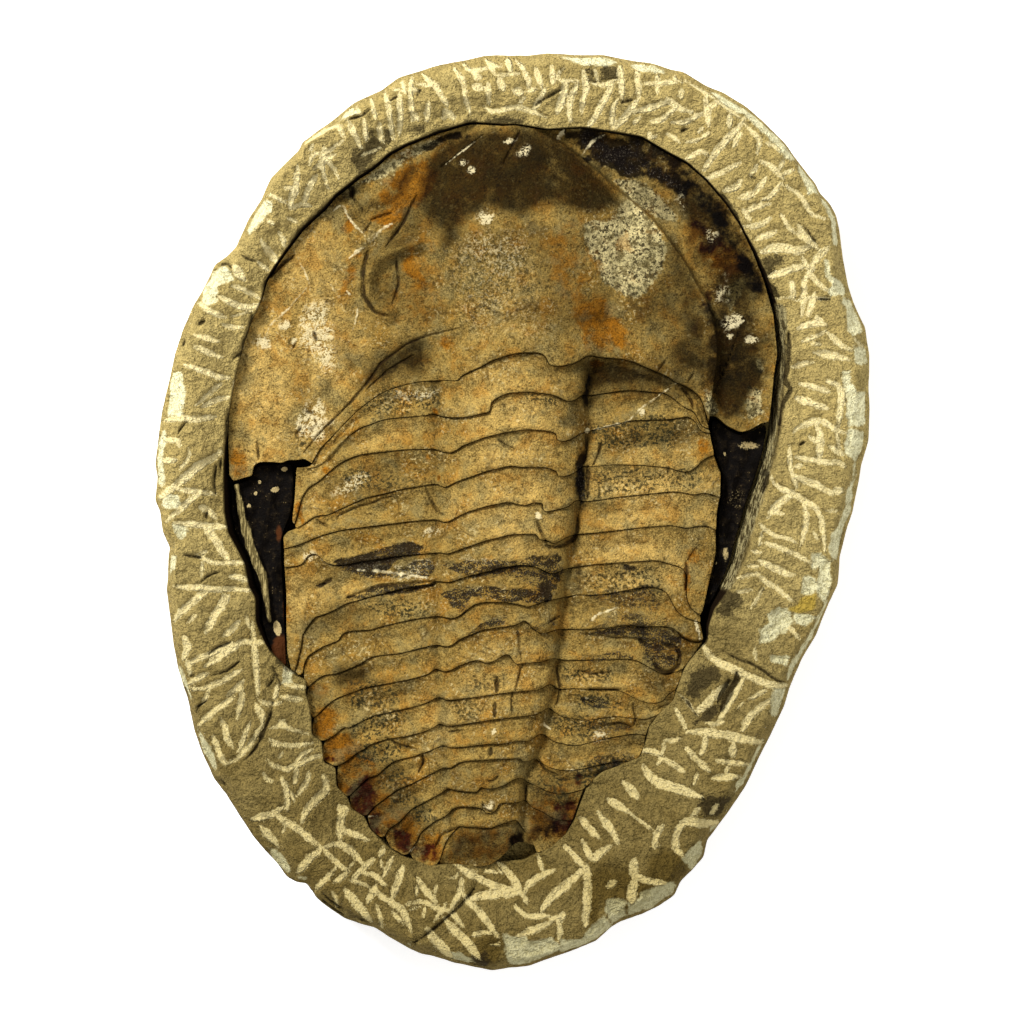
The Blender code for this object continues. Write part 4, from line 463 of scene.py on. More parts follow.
# Dark cracks and clefts of the stone, their dark partly painted shade, most of all along the fossil's edge
STONE_GAPS = [
    (1.3, -64.6, 73, -60, 79.5, -53, 86.5, -46, 92, -43.5, 95), (0.4, -43.5, 95, -37, 99.8, -30, 103.5),
    (1.4, -27, 105, -20, 107.5, -10, 110.2), (1.5, 59.5, 90, 64.2, 82.5), (0.8, 65, 79, 68.5, 73.6),
    (1.3, 70.8, 67, 75.8, 60.8), (0.7, 6.9, 115.4, 9.3, 117, 13.5, 119.3),
    (0.6, 30.6, 115.8, 34.1, 116.6), (0.6, 47.9, 107.8, 49.4, 108.6), (0.6, 67.3, 95, 68.9, 94.6),
    (0.6, 82.8, 81, 86, 76.3), (0.5, 86.3, 60.2, 90, 60.2), (0.6, -34.3, 116.4, -32.1, 117.7),
    (0.6, -26.9, 117.5, -25.7, 119.7), (0.5, -46.3, 110.9, -42, 112.1, -40.1, 114),
    (0.7, -76.5, 72.8, -74.5, 71.5, -72.4, 71), (0.6, -83.5, 69.9, -80.4, 70.6, -79.5, 69),
    (1.1, 78.4, 50.6, 78.6, 43.6, 77.4, 37.8, 79.3, 34.7, 77, 30.8, 76, 25),
    (1.2, 72.6, 12, 72.3, 9, 71.3, 5.3), (0.7, 71.9, 12.2, 70.8, 10), (0.5, 83, 20, 81.5, 19),
    (0.6, 60, -39.5, 64, -41.8, 68, -43, 72, -45.5, 75, -47.8, 77.5, -48.3),
    (2.2, 54.7, -28.5, 54, -30, 54.3, -33, 55.2, -35.6), (0.5, 48.5, -52.8, 50.4, -54.6, 53, -58.6),
    (0.7, -10.3, -104.5, -10.5, -107, -13, -110, -16, -113, -22, -118.2, -25, -120.5, -28, -122.2),
    (0.6, -68, -54, -68.5, -57.5, -71.8, -65.5, -73, -67.5, -75.5, -70), (1.1, -70.4, -62, -71.6, -65),
    (0.6, -65.5, -50, -68, -44), (0.4, -69.5, -49.5, -68, -48, -67.5, -46),
    (0.4, -86, -40.3, -84, -38.5, -80, -37), (0.4, -85, -46.2, -81, -45.3, -77.5, -42.5),
    (0.4, -89.5, -57, -89, -55, -86.5, -53.5), (0.5, -91.3, -46.7, -90, -46),
    (0.8, -92.7, -12.2, -88, -13), (0.3, -88, -19.8, -86, -18, -83, -17),
    (0.3, -92, 25.5, -93.5, 24, -94.5, 22), (1, -80.6, 29, -80.8, 20, -81.1, 17, -80.6, 12, -80, 8.6),
    (0.5, -84, 13, -84.5, 8, -84, 5), (0.4, -82.6, 15, -83, 10), (0.8, -80.6, 4, -79.6, 1),
    (1, -77.6, -2, -76.6, -6, -74.2, -13, -73.6, -17, -71.4, -24, -71, -27), (0.8, -86.7, 0, -86.7, -2),
    (0.8, -89, 53, -87, 54), (0.5, -92, 50, -93.5, 47), (1, -69, 67, -70.5, 62.5),
    (0.8, -73.7, 56, -74.5, 52, -76, 48.5, -76.3, 45.5, -79, 43.5), (0.8, -71.3, -30, -71.6, -35),
    (0.4, -92, -56, -93, -50), (0.8, -83.5, -76, -81.5, -77.4),
    (1.7, 63.8, -45.8, 64, -47.5, 61.6, -51, 59.2, -57), (1.2, 58.4, -54, 61.8, -47.4),
    (0.4, -57, -108, -52.4, -112, -47.4, -114.9, -41, -116.6),
    (0.4, -55, -107.6, -51, -110.8, -46, -113.8, -42, -115.4),
    (1.7, 74.2, 54, 74.2, 44, 73.8, 34, 72.6, 25),
]

# Sooty places of the stone; those along the fossil's edge are partly painted shade
STONE_SOOT_AND_SHADE = [
    (-45.5, 104, -44, 102, -41, 105, -40, 108, -38.5, 108, -37, 105, -36, 109, -34.7, 108, -33.5, 105,
     -36, 103.5, -38.5, 101, -43.5, 94.8, -45, 99),
    (-29.5, 107.8, -25.3, 107.8, -25.3, 109.4, -29.5, 109.4), (71, 66, 74.5, 66, 74.5, 72, 71.6, 72),
    (73.5, 70, 76.7, 70, 76.7, 72.4, 73.5, 72.4),
    (50, -48, 53, -44, 59, -44, 59, -47, 52, -53.5, 50, -52),
    (58, -54, 55, -56, 52, -60, 57, -59, 59, -57), (60, -22, 64, -22.6, 64.6, -26, 62, -30, 58, -29),
    (21.5, 121.5, 23.5, 121.5, 23.5, 126, 21.5, 126), (25, 122, 30, 122, 30, 125.8, 25, 125.8),
    (-11, -125.4, -7.6, -124.4, -7, -127, -8, -129.4, -11, -129),
    (53, -80, 63, -80.4, 61, -84, 58.4, -87, 53, -86), (-12, 110, 3, 110, 3, 111.6, -12, 111.6),
    (-68, -36.6, -64.6, -37, -64.4, -44, -67, -43),
]

# Amber stain on the right border
AMBER_PATCH = [
    (78.5, -27.8, 80.5, -26.5, 82, -24.5, 85.8, -23.2, 86, -27, 85, -28.2, 81, -28.8),
]
# Pale ledge along the right spine, and thin ridge along the left one
RIGHT_LEDGE = [
    (75.8, 57.3), (76.2, 49.5), (75.8, 40), (74.9, 33.9), (74.2, 27), (73.4, 21), (72.4, 15),
    (71, 9), (69.4, 4), (68, -1), (66.2, -6), (64.6, -11), (62.8, -16), (61, -20.5),
]
LEFT_RIDGE = [
    (2, -78.8, 8, -77, 1, -76.4, -4, -74.5, -10, -71.3, -18, -70.4, -22, -69, -31),
]

# Cracks of the shell, painted dark: partly their own dark and partly painted shade in them
SHELL_CRACKS = [
    (0.9, -41, 74, -42.4, 68, -42, 61, -39, 56.6, -35, 55.4), (0.5, -33, 72, -32, 65, -34, 59),
    (0.6, -27, 90, -31, 82, -36, 75), (0.5, -46, 92, -45.5, 89.5, -42.5, 86.5, -42.3, 85.2),
    (0.5, -40, 83, -34.2, 85), (0.4, -40, 82.3, -42, 79.5), (0.5, 2.3, 108, -2.4, 98.7),
    (0.4, 41.5, 40, 43.5, 42.7), (0.4, 50, 37, 51.5, 39.2),
    (0.5, -15.6, 51.8, -24, 50, -30, 47.7, -37.3, 42.3, -40, 38, -45, 32, -55, 22, -59, 17),
    (0.4, -28, 44.5, -35, 40.5, -41, 35), (0.3, -20, 98, -8, 107), (0.9, -69, 67, -65, 71, -62, 73),
    (0.6, -56.3, 51, -55.5, 48.5), (0.6, -61.5, 22, -60, 24), (0.4, -72.5, 20, -72, 15),
    (0.5, -61.5, 48, -62.2, 46.6), (0.5, -58.5, 28.6, -56, 28),
    (0.5, 48.3, 35.2, 49.9, 33.4, 50.9, 31.9, 51.7, 29.3),
    (0.4, -49, -1, -45.7, 0.7, -42.4, 1.8, -40.2, 2.3, -37.6, 3.4, -34.3, 4.3),
    (0.4, -55.5, -2.3, -54.2, -3.4, -52.2, -4.2),
    (0.4, -3.8, 20.4, -2.7, 19.3, -1.6, 18.6, -0.4, 18.2, 0.8, 17.5),
    (0.5, -24.4, 6.8, -22.1, 1.6, -21, 0, -19.5, -1), (0.8, 21, 22, 21.2, 18, 20.3, 14),
    (0.5, 25.5, 20, 24.5, 16, 23, 13.2), (0.7, 21.5, 13, 21.7, 9, 21.6, 4),
    (0.5, 12.5, -42.7, 12.7, -45.2, 13.7, -49.7, 13.5, -52.2, 12.7, -54.7),
    (0.4, 1.5, -33, 2, -36, 2.2, -39, 2.9, -42), (0.4, 2.9, -43, 1, -50.5),
    (0.4, 0, -51, 0, -55, 0.2, -57.5), (0.4, 34.5, -54.8, 34.8, -57, 35.5, -58.4, 34.8, -60.6),
    (0.5, 20, -34.6, 28.3, -35.7, 35.9, -36.2, 38.1, -37.5), (0.5, 49.5, -14, 49.9, -17.5, 49.5, -22),
    (0.5, 50.1, -13.7, 51.7, -11.2, 53.3, -9.5), (0.8, 10.4, -31.4, 13.5, -29.4),
    (0.9, 9.6, -9.4, 11.6, -10.2, 14.5, -9.4, 17.6, -7.6, 18.6, -5.5, 18.7, -1),
    (0.5, 7, -2.6, 8.4, -6, 9.8, -8.6),
    (1, 40, -42, 41.5, -45, 44.5, -46, 47.4, -44, 48.2, -41, 46.6, -38.4, 43, -38),
    (0.6, 43.6, -32.7, 47.7, -34.9, 48.9, -36, 50.7, -36.9, 52.9, -37.3, 54.2, -36.8),
    (0.5, 22, -50.5, 31, -50.6), (0.5, 19, -45.2, 23, -46.2, 28, -45.6), (0.8, -4.2, -47, -4.3, -51),
    (0.8, -4.8, -54, -4.8, -58), (0.7, -6, -67, -6, -69), (0.5, -7.2, -76.2, -5.4, -76.6, -4, -75),
    (0.6, -8.3, -83, -7.6, -84.8, -5.6, -85), (1.8, 0.6, -93, 2, -96, 4.4, -99),
    (0.7, -47, -24.5, -38, -21, -22, -19.8), (0.6, -30, -22.5, -22, -20.5),
    (1.1, -53.7, -20.6, -51, -19), (0.4, -36, -64.2, -32, -66.4, -27, -67.6),
    (0.4, 7.6, -70.6, 9.8, -73.8, 13, -75), (0.3, -18, -62.6, -14, -62),
    (0.4, 27.6, -60.6, 31, -60, 34, -61.4), (0.4, -26.5, -74, -25, -71, -25.7, -69.2),
    (0.6, 3.6, -77, 4, -80, 3.8, -82), (0.5, -21.7, -95.6, -20, -91.8, -16.4, -90.4),
]

# Thin pale scratches and mineral veins of the shell
SHELL_VEINS = [
    (0.6, -52, 85, -48.2, 87.6, -46.8, 84.5, -45.5, 82.5, -41.8, 78.5),
    (1, -47, 71.5, -40, 77.5, -37, 80.5, -34, 82), (0.5, -35.5, 100, -28, 103.5),
    (0.4, -20, 98, -8, 107), (1, 14.7, 108.4, 12.8, 105.7),
    (0.8, 26.4, 107.3, 23.3, 106.1, 19.8, 101.4), (1.2, 60.7, 51.8, 65.7, 54.5),
    (0.5, -69.8, 50.5, -69, 53, -66, 55.5, -63, 58.5, -57.7, 64.5),
    (0.5, -57.4, 63, -57.7, 66, -60.5, 71), (0.5, -45.5, 51.5, -44.5, 54, -43.8, 58),
    (0.5, -51.5, 64.5, -50, 62), (0.5, -47.2, 63, -45.6, 61.4), (0.5, -60.4, 21.6, -57, 26),
    (0.5, 21, 22.8, 33, 25.7, 36, 29, 46.5, 36.5), (0.6, 20.8, -32.5, 24.1, -29.2, 30.3, -27.1),
    (0.8, -44, -16.5, -36, -17, -22, -19), (0.4, 8.7, -57.6, 8.5, -59.7, 10, -61.3, 12, -62),
    (0.5, -54.6, -13.2, -53.3, -14.8, -50.4, -15.6), (0.4, 18, -73.4, 16, -73.3, 14.6, -74),
    (0.5, -27.6, -95, -29.6, -97.6), (0.4, -41, -86.9, -38, -86.6), (0.5, -29, -104.6, -27, -104.2),
    (0.3, -9.4, -41.4, -6, -42.4, -2, -40.2), (0.3, 36.6, -60, 37.6, -63),
    (0.5, -47.6, -88.8, -45.6, -88.6),
]

# Sharp-edged flakes where the shell is gone
SHELL_FLAKES = [
    (20.5, 81, 23.5, 82.3, 27, 82, 29.5, 85, 31.5, 88.2, 34, 88, 37, 85.5, 40, 82, 42.7, 78.5, 43.8,
     74.5, 43, 70, 41, 66.5, 38, 62.5, 35, 60.5, 32, 61.5, 28.5, 63.5, 25.5, 65, 24.8, 69, 22, 73,
     20.3, 77),
    (29, 94.2, 33.3, 95.1, 37.7, 93.2, 42.1, 89.8, 46.9, 84.4, 46.5, 83, 42.5, 83, 37.7, 86, 32.8,
     89.8), (-45, 92.6, -38, 97.6, -30, 103, -20, 107, -20, 105, -29, 100.4, -37, 95),
    (65.3, 67.4, 60.7, 62.7, 60.3, 60.4, 62.2, 57.3, 66.4, 64),
    (67, 36, 70.6, 34.6, 71.4, 27.4, 67.4, 26.6, 66.4, 31), (69.2, 44, 71, 43, 71.4, 39, 69.6, 40),
    (54.6, 36.4, 56.8, 33, 58.6, 28.6, 56.6, 26.8, 54.8, 30),
]

# Flakes of shell that stand proud
RAISED_CHIPS = [
    (7.3, -1.9, 8.7, -5.5, 10, -7.8, 11.6, -9, 14.1, -8, 16.6, -6.7, 17.6, -5.5, 17.4, -3.4, 17.8,
     -0.5, 17, 0.6, 12, 0.4, 8, 1),
    (4, -30.8, 6.2, -32.6, 8.3, -33.8, 10.4, -33.4, 11.6, -31.6, 8, -29.4),
    (-8, -82.4, -6.4, -81.8, -5, -82.6, -5.2, -84.4, -6.6, -85, -7.8, -84.2),
]

# Stains of the shell, with painted shade among the olive and dark ones, each (x, y, half width, half
# height, strength) and perhaps a turn in degrees
SHELL_STAINS = {
    "tan": [
        (-70, 34, 9, 27, 1), (-53, 46, 8, 15, 1), (-60, 70, 12, 11, 0.6, 40), (0, 26, 15, 15, 0.7),
        (0, 0, 16, 13, 0.75), (38, 5, 17, 13, 0.75), (36, -14, 18, 8, 0.75), (-46, -24, 15, 6, 0.4),
        (-36, 22, 9, 4, 0.4, 10), (-3, -48, 12, 12, 0.4), (-22, -58, 8, 8, 0.5), (30, -47, 12, 3, 0.5),
        (-57, 5, 4, 12, 0.5), (-60, -24, 4, 12, 0.8), (48, 18, 7, 3, 0.5), (0, 62, 8, 14, 0.25),
    ],
    # Olive stains, partly painted shade on the right flanks of the head and axis
    "olive_and_painted_shade": [
        (17, 56, 13, 12, 0.4), (-28, 62, 9, 10, 0.35), (0, 74, 26, 14, 0.35), (46, 60, 9, 15, 0.65),
        (54, 86, 20, 7, 1, -52), (64, 62, 8, 20, 1, 15), (63, 42, 8, 18, 1.2), (50, 43, 11, 8, 0.9),
        (33, 36, 15, 6, 0.8, 8), (40, 21, 14, 4.5, 0.55), (-33, 44, 9, 5, 0.6, 20),
        (-42, 9, 15, 3.6, 0.35, 20), (-48, -32, 11, 4, 0.5, 12), (-36, -52, 13, 3.6, 0.35, 12),
        (34, -66, 9, 4, 0.4), (20, 28, 3, 7, 0.6), (48, -38, 8, 6, 0.35), (45, -50, 5, 6, 0.5),
        (10, -77, 9, 4, 0.5),
    ],
    # Dark places, mostly painted shade: the gutter beyond the dome's edge, the head's upper rim and the
    # right furrow
    "dark_and_painted_shade": [
        (30, 103, 13, 4, 1.5, -18), (45, 94, 9, 3, 1.2, -42), (62, 45, 8, 17, 0.42),
        (58, 84, 13, 2.4, 0.8, -55), (67, 68, 8, 2.4, 1, -65), (58, 60, 3, 16, 0.5, 10),
        (-36, 37.5, 4, 3, 0.5), (1.5, -96, 2.6, 4.5, 1.5), (10, -92, 7, 6, 0.6), (24, -75, 6, 3.6, 0.7),
        (19.5, 10, 1.8, 8, 1.2), (18, -20, 1.6, 16, 0.5, -6), (22, 34, 1.5, 6, 0.8), (-46, 90, 3, 4, 0.7),
        (-19, 105, 9, 1.2, 0.9, 16), (4, 96, 16, 6, 0.35),
    ],
    "soot": [
        (-53.7, -20.6, 1.4, 0.8, 1.4), (19.6, 8.5, 1.4, 5.5, 0.9), (29, 103, 9, 3, 1, -16),
        (41, 97, 8, 1.6, 0.8, -38), (20, -54, 0.9, 0.9, 1.3), (32.5, -16.5, 1.6, 0.9, 1.1),
        (-45.5, 46, 4, 5, 0.3),
    ],
    "moss": [
        (-4, 66, 15, 17, 0.3), (36, 60, 12, 8, 0.22), (-62, 48, 2, 2, 0.4), (-60, 20, 2, 3, 0.5),
        (-34, 9, 8, 3, 0.3, 15), (30, 9, 12, 3, 0.35),
    ],
    "rust": [
        (-27, 70, 3.5, 4, 0.9), (-46, 82, 3, 3, 0.9), (-29, 94.5, 10, 3, 0.95, 35), (25, 53, 4, 3, 0.85),
        (30, 50, 3, 2, 0.6), (-19, 49, 3, 2, 0.7), (24, 42, 2.5, 1.2, 0.9), (-47, 68, 3, 6, 0.6, -20),
        (-77, 14.5, 2.6, 5.5, 0.95), (-59.8, -0.5, 1, 3.4, 1.2, 10), (-53, 12.5, 1.6, 1, 1),
        (-23.5, 15, 1, 1.5, 1), (-21, 9, 0.9, 1.1, 1), (-22, 29, 1, 1, 0.9), (50, -18, 1.2, 4.5, 1.1),
        (52, -12, 2.4, 3.5, 0.85), (55, 18, 1.4, 3, 0.85), (-63.4, -29, 1.2, 4, 0.8), (18, 98, 2, 4, 0.4),
        (-55, -50, 3, 2, 0.5),
    ],
    "wine": [
        (19, -76, 1.4, 2.6, 1.1), (-52, -71.4, 2.4, 0.8, 0.8),
    ],
    "chalk": [
        (-7, 62, 11, 18, 0.2, 15), (4, 55, 16, 7, 0.18, -20), (-46, 8, 6, 2.4, 0.5, 30),
        (-23, -6, 2.4, 1.6, 0.6, 20), (-57, -12, 2.6, 1.8, 0.6), (-27, 34, 8, 2, 0.42, 8),
        (-26, -15, 6, 2, 0.5), (-38, -15, 8, 1.2, 0.5), (-8, -14, 8, 1, 0.35), (60, 62, 3, 5, 0.4),
        (63, 54, 3, 2, 0.7, 30), (57, 79, 2, 2, 0.4), (46, 88, 3, 3, 0.35), (-53, 49, 5, 12, 0.62, 15),
        (-57.2, 24.5, 3, 6, 0.75, -30), (-4, 74, 10, 10, 0.27), (-30, -17, 9, 2.5, 0.5, 5),
        (-71, 48.5, 2.6, 2, 0.9), (-61.5, 48.2, 1, 1, 1.4), (-65, 53.4, 2.2, 1.4, 0.8),
        (-6.7, -83.4, 2, 1.8, 0.85), (7.8, -1, 1, 0.9, 1.4), (21.5, 22, 0.9, 0.7, 1.5),
        (36, 28, 0.9, 0.7, 1.5), (-4.8, -63, 0.6, 0.8, 1.3), (-0.3, 105.5, 1.3, 1, 0.8),
        (3, 101.5, 1.6, 1.6, 0.75), (-7.5, 83.5, 2.2, 2, 0.85), (-11.5, 96, 1.3, 1, 0.75),
        (-13.5, 98.5, 1.2, 1, 0.7), (68.3, 49.5, 1.5, 1, 0.8), (62.6, 50.3, 1, 0.8, 0.8),
        (20.4, -53.4, 1.1, 0.5, 1.1, 20), (-56, 29, 1.4, 1.6, 0.8), (25, -64, 2.5, 2, 0.6),
        (53.3, -34, 0.7, 3, 0.9),
    ],
}

# Larger areas of the shell, by stain; the olive and dark ones are partly painted shade
SHELL_AREAS = {
    # Olive areas, partly painted shade on the glabella's front and the head's right side
    "olive_and_painted_shade": [
        (1, -24, 100, -19, 104.5, -12, 107.5, -3, 109, 6, 109, 12, 107.5, 17, 104, 22, 100, 27, 95, 30,
         90.5, 31, 86, 26, 84.5, 22, 84, 14, 86, 8, 86.5, 4, 84, -3, 84, -7, 86, -12, 84, -15, 79, -18,
         72, -21, 78, -25, 82, -28, 86),
        (0.6, -24, 97, -21, 90, -23, 82, -27, 75, -32, 70, -36, 71, -38, 76, -33, 82, -28, 89),
        (0.85, 44, 98, 52, 96, 60, 86, 66, 76, 71, 68, 66, 67, 61, 67, 58, 71, 53, 76, 49, 80, 46, 86,
         44, 92),
        (0.8, 45, 78, 51, 71, 54, 63, 56, 52, 57, 40, 55, 34, 51, 41, 48, 50, 47, 56, 46, 62, 44, 70),
        (1, 57, 48, 62, 49, 68, 47, 70, 40, 69, 34, 66, 27, 62, 25, 58, 28, 56, 36),
        (1, 62, 66, 66, 69, 70, 62, 70, 51, 66, 52, 64, 58),
        (1, -43, 36, -40, 42, -34, 47, -29, 49.5, -25, 49, -23, 44, -25, 39, -31, 38.5, -37, 37),
        (1, 20, 42, 24, 43, 32, 42.5, 40, 40, 46, 36.5, 44, 34, 36, 35.5, 28, 34.5, 20, 34),
        (0.5, 28, 95, 36, 96, 42, 92, 48, 87, 46, 82, 42, 82, 38, 87, 33, 91),
        (0.5, -42, 73, -36, 78, -32, 74, -31, 62, -35, 56, -41, 60),
        (0.85, -50, -44, -46, -43, -41, -44.5, -41, -49, -46, -51, -50, -49),
        (0.5, -50, -70, -47, -66, -40, -66, -34, -70, -28, -76, -24, -84, -24, -92, -30, -99, -38, -94,
         -44, -86, -50, -78),
        (0.75, -20, -99.5, -17, -92, -14, -90, 2, -89, 4, -93, 0, -97, -6, -100, -14, -100.5),
        (0.55, 4, -74, 14, -75, 20, -75, 26, -73, 22, -78, 18, -80, 18, -88, 12, -92, 6, -97, 2, -97,
         4, -90, 3, -84), (0.25, -22, -70, 0, -72, 2, -86, -16, -88, -26, -80),
        (0.45, -58, -46, -52, -52, -56, -60, -50, -66, -53, -70, -58, -62),
        (1, -46, 84, -43, 86, -38, 88, -35, 90, -31, 96, -26, 99, -28, 95, -33, 89, -38, 86, -43, 83.5),
    ],
    "moss": [
        (0.55, -46, -49, -40, -48.5, -34, -50, -32, -54, -38, -56, -46, -56),
        (0.62, -44, -58.5, -34, -56.5, -30, -58, -33, -62.5, -42, -65, -46, -62),
        (0.66, -45, -66, -36, -65.5, -30, -66.5, -33, -71, -40, -73, -45, -71),
        (0.66, -38, -74, -31, -73, -28, -76, -33, -79, -38, -78),
        (0.7, -34, -80.5, -28, -80, -27, -83, -34.5, -84),
        (1, -27.5, -84, -23, -84.5, -22, -87.5, -26, -88.5, -28, -86.5),
        (0.42, 22, 4, 52, 6, 54, 13, 44, 13.5, 24, 12.5),
        (0.5, -50, 11, -42, 13, -32, 10, -34, 7, -46, 6),
        (0.5, -44, -26, -32, -25, -24, -26, -24, -30, -36, -31),
        (0.4, 18, -16, 42, -16, 44, -24, 20, -22), (0.6, 14, -44.5, 28, -44, 29, -47, 14, -47.5),
        (0.6, 17, -52, 30, -52.5, 31, -56.5, 18, -57), (0.5, 11, -58, 26, -59, 28, -66, 13, -65),
        (0.4, -18, -53, -9, -53, -8, -58, -16, -59), (0.4, -12, -46, -2, -46, -2, -50, -12, -50),
        (0.45, -42, 27, -20, 29, -20, 35, -34, 36, -42, 32),
        (0.6, 22, 24, 40, 28, 48, 25, 46, 18, 24, 18), (0.5, 2, 30, 14, 30, 14, 33, 4, 34),
        (0.5, 20, -70, 34, -70, 30, -76, 22, -80, 17, -76), (0.35, 6, -72, 16, -76, 14, -84, 6, -80),
    ],
    "wine": [
        (0.7, 48, 84, 54, 82, 60, 78, 64, 72, 58, 72, 52, 76),
        (0.5, 54, 66, 58, 68, 60, 60, 57, 52, 54, 58),
        (1.6, -46.5, -84, -45, -77, -41, -75, -38.5, -80, -40, -85, -43, -87),
        (0.8, -40, -86, -37, -87, -36, -92, -39, -92),
        (1.3, -34, -90, -29, -92, -28, -97, -31, -98, -34, -96),
        (1.1, -27, -94, -22, -94, -21, -98, -25, -100),
        (1, -41, -87, -38, -86, -36, -91, -38, -93.5, -41, -91),
        (1.1, 11, -83, 17, -81, 19, -86, 17, -92, 12, -91),
    ],
    # Dark areas, painted shade in the gutter round the head's upper right edge
    "dark_and_painted_shade": [
        (1, 13, 108.5, 20, 109, 30, 107.5, 38, 106, 45, 102, 51, 97, 49, 95.5, 43, 99, 37, 98, 31,
         96.5, 26, 99, 20, 102, 15, 106),
        (0.6, 52, 96, 58, 90, 63, 83, 68, 74, 71, 69, 68, 70, 63, 78, 58, 85, 52, 91, 48, 94),
    ],
    "soot": [
        (1, -50, -14.5, -44, -12, -38, -10.5, -32, -10, -28, -9, -25, -10, -27, -12, -33, -13, -36,
         -15.5, -40, -17.5, -47, -16.5),
        (0.6, -50, -16, -42, -19, -34, -18.5, -24, -18.5, -21, -16, -24, -13, -30, -14, -36, -17),
        (0.8, -47, -24.5, -40, -21.5, -30, -20.5, -22, -20.3, -22, -21.5, -30, -23, -38, -24.5, -45,
         -25),
        (0.65, -20, -16, -12, -14, -3, -13, 8, -12.3, 13, -12.5, 15, -18, 12, -22, 9, -25, 6, -22, 0,
         -18, -12, -19),
        (0.7, -20, -24, -16, -22.3, -8, -21, 0, -21.5, 7, -22, 10, -26, 4, -26.3, -4, -25, -12, -25,
         -14, -29, -17, -27), (1.1, 6.5, -20, 10, -19.5, 11, -24, 9, -26, 7.5, -24),
        (0.5, 20, -23, 30, -22, 40, -20, 42, -26, 34, -27.5, 28, -26, 20, -25),
        (0.45, 27, -28.5, 36, -28, 44, -30, 46, -33, 36, -32, 22, -33.5, 26, -31),
        (0.5, 19, -40.5, 26, -40, 34, -40.5, 34, -41.8, 24, -42),
        (0.6, 20, -53.5, 24, -53.5, 27, -56, 23, -56),
        (0.7, -13, -34.5, -10, -31, -1, -30, -2, -32, -8, -33),
        (0.5, 4, -33, 8, -32, 13, -29.5, 12, -32, 7, -34.5),
        (0.42, 19, -24, 30, -22, 38, -21, 43, -25, 40, -29, 32, -27, 24, -26),
        (0.5, 26, -29, 36, -29, 44, -34, 34, -33),
        (0.7, 20, -34.5, 36, -31.5, 42, -33, 48, -35, 49, -40, 46, -44.5, 42, -45.5, 38, -42, 36,
         -36.5, 28, -35.5), (0.6, 19, -42, 26, -40, 35, -41, 34, -42.3, 26, -42.3),
        (0.6, 19, -53, 25, -53.5, 29, -56, 24, -57, 20, -55.5),
        (0.45, 18, -61, 30, -60, 36, -63, 24, -64), (0.45, 20, -70, 32, -68, 36, -72, 22, -74),
    ],
    "rust": [
        (1.2, -57, -62, -55, -57, -51, -54, -49.5, -58, -50, -63, -53, -65),
        (1.2, -54, -68, -51, -64, -46, -63, -43, -67, -46, -72, -50, -73, -53, -71),
        (0.8, -50, -77, -47, -73, -42, -75, -45, -80, -48, -80),
        (0.8, -40, -84, -36, -83, -33, -87, -36, -92, -39, -90),
        (1, -34, -90, -29, -88, -27, -93, -30, -97, -33, -95),
        (0.9, -27, -96, -24, -92, -20, -93, -21, -98, -25, -100),
        (0.8, 11, -83, 17, -82, 18, -90, 14, -92, 11, -88),
        (1, -34, 96, -29, 98, -24, 99, -21, 95, -25, 89, -30, 84, -34, 81, -40, 83, -36, 87, -38, 90,
         -32, 92), (1, 17, 58, 21, 61, 26, 60, 29, 55, 33, 51, 34, 47, 28, 45.5, 22, 46, 20, 51),
        (1, 54, 76, 58, 77, 64, 74, 68, 69, 62, 66.5, 57, 70),
        (0.6, -50, -71, -42, -68, -38, -72, -40, -78, -34, -80, -34, -84, -28, -86, -26, -92, -20, -90,
         -20, -99, -28, -98, -38, -92, -44, -84, -49, -78),
        (0.45, -20, -99, -17, -92, -13, -90, 1, -89, 3, -93, -1, -97, -7, -100, -14, -100),
        (0.5, 6, -78, 20, -77, 19, -86, 14, -92, 6, -95, 3, -90),
        (0.4, 10, 60, 10, 80, 20, 84, 24, 70, 22, 58),
        (0.35, -32, 74, -24, 80, -18, 72, -20, 56, -30, 50, -36, 56),
    ],
}

# Darker places of the stone, added to the painted shade that darkens it towards the bottom
STONE_SHADES = [
    (28, -106, 9, 7, 0.35), (44, -101, 6, 5, 0.4), (37, -107, 3, 3, 0.4), (23, -111, 2, 8, 0.4),
    (-6, -124, 4, 5, 0.35), (62, -36, 8, 5, 0.3), (-60, 106, 4, 3, 0.3), (-84, 8, 3, 12, 0.45),
    (-73, -32, 3, 9, 0.35), (-85, 47, 5, 3, 0.3), (-52, -86, 6, 6, 0.2), (82, 76, 3, 4, 0.35),
]
# Colours of the finishes, red, green and blue from 0 to 255
SHELL_COLOURS = {
    "base": (150, 124, 64), "brown": (126, 99, 44), "tan": (180, 149, 82), "rust": (132, 82, 8),
    "wine": (50, 6, 2), "bare": (200, 186, 134), "bare_dots": (62, 60, 44), "bare_blotch": (120, 108, 70),
    "grey": (122, 112, 72), "ochre": (148, 102, 30), "pepper": (58, 43, 18), "crumb": (214, 192, 134),
    "moss": (34, 35, 20), "chalk": (226, 210, 162), "soot": (14, 9, 7), "ash": (84, 76, 62),
    "hair": (46, 30, 10), "crack": (30, 18, 7), "vein": (232, 216, 168),
}
# The stone's shade colour, and the shaded copies of its facet and cut colours, are painted shade
STONE_COLOURS = {
    "light": (182, 161, 100), "base": (160, 140, 84), "painted_shade": (88, 72, 32), "facet": (240, 234, 188),
    "facet_dots": (204, 195, 148), "facet_painted_shade": (146, 136, 90), "amber": (176, 148, 58),
    "strand": (44, 36, 20), "strand_light": (160, 148, 104), "soot": (34, 27, 16), "cut": (222, 203, 142),
    "cut_light": (244, 228, 172), "cut_painted_shade": (180, 160, 98), "gap": (26, 18, 8), "painted_recess_shade": (28, 19, 9),
}
CAST_COLOURS = {
    "black": (9, 6, 4), "brown": (36, 28, 16), "crumb": (138, 118, 76), "wine": (74, 40, 16),
    "chalk": (190, 168, 116), "ridge": (92, 80, 46), "ridge_light": (172, 154, 100),
}

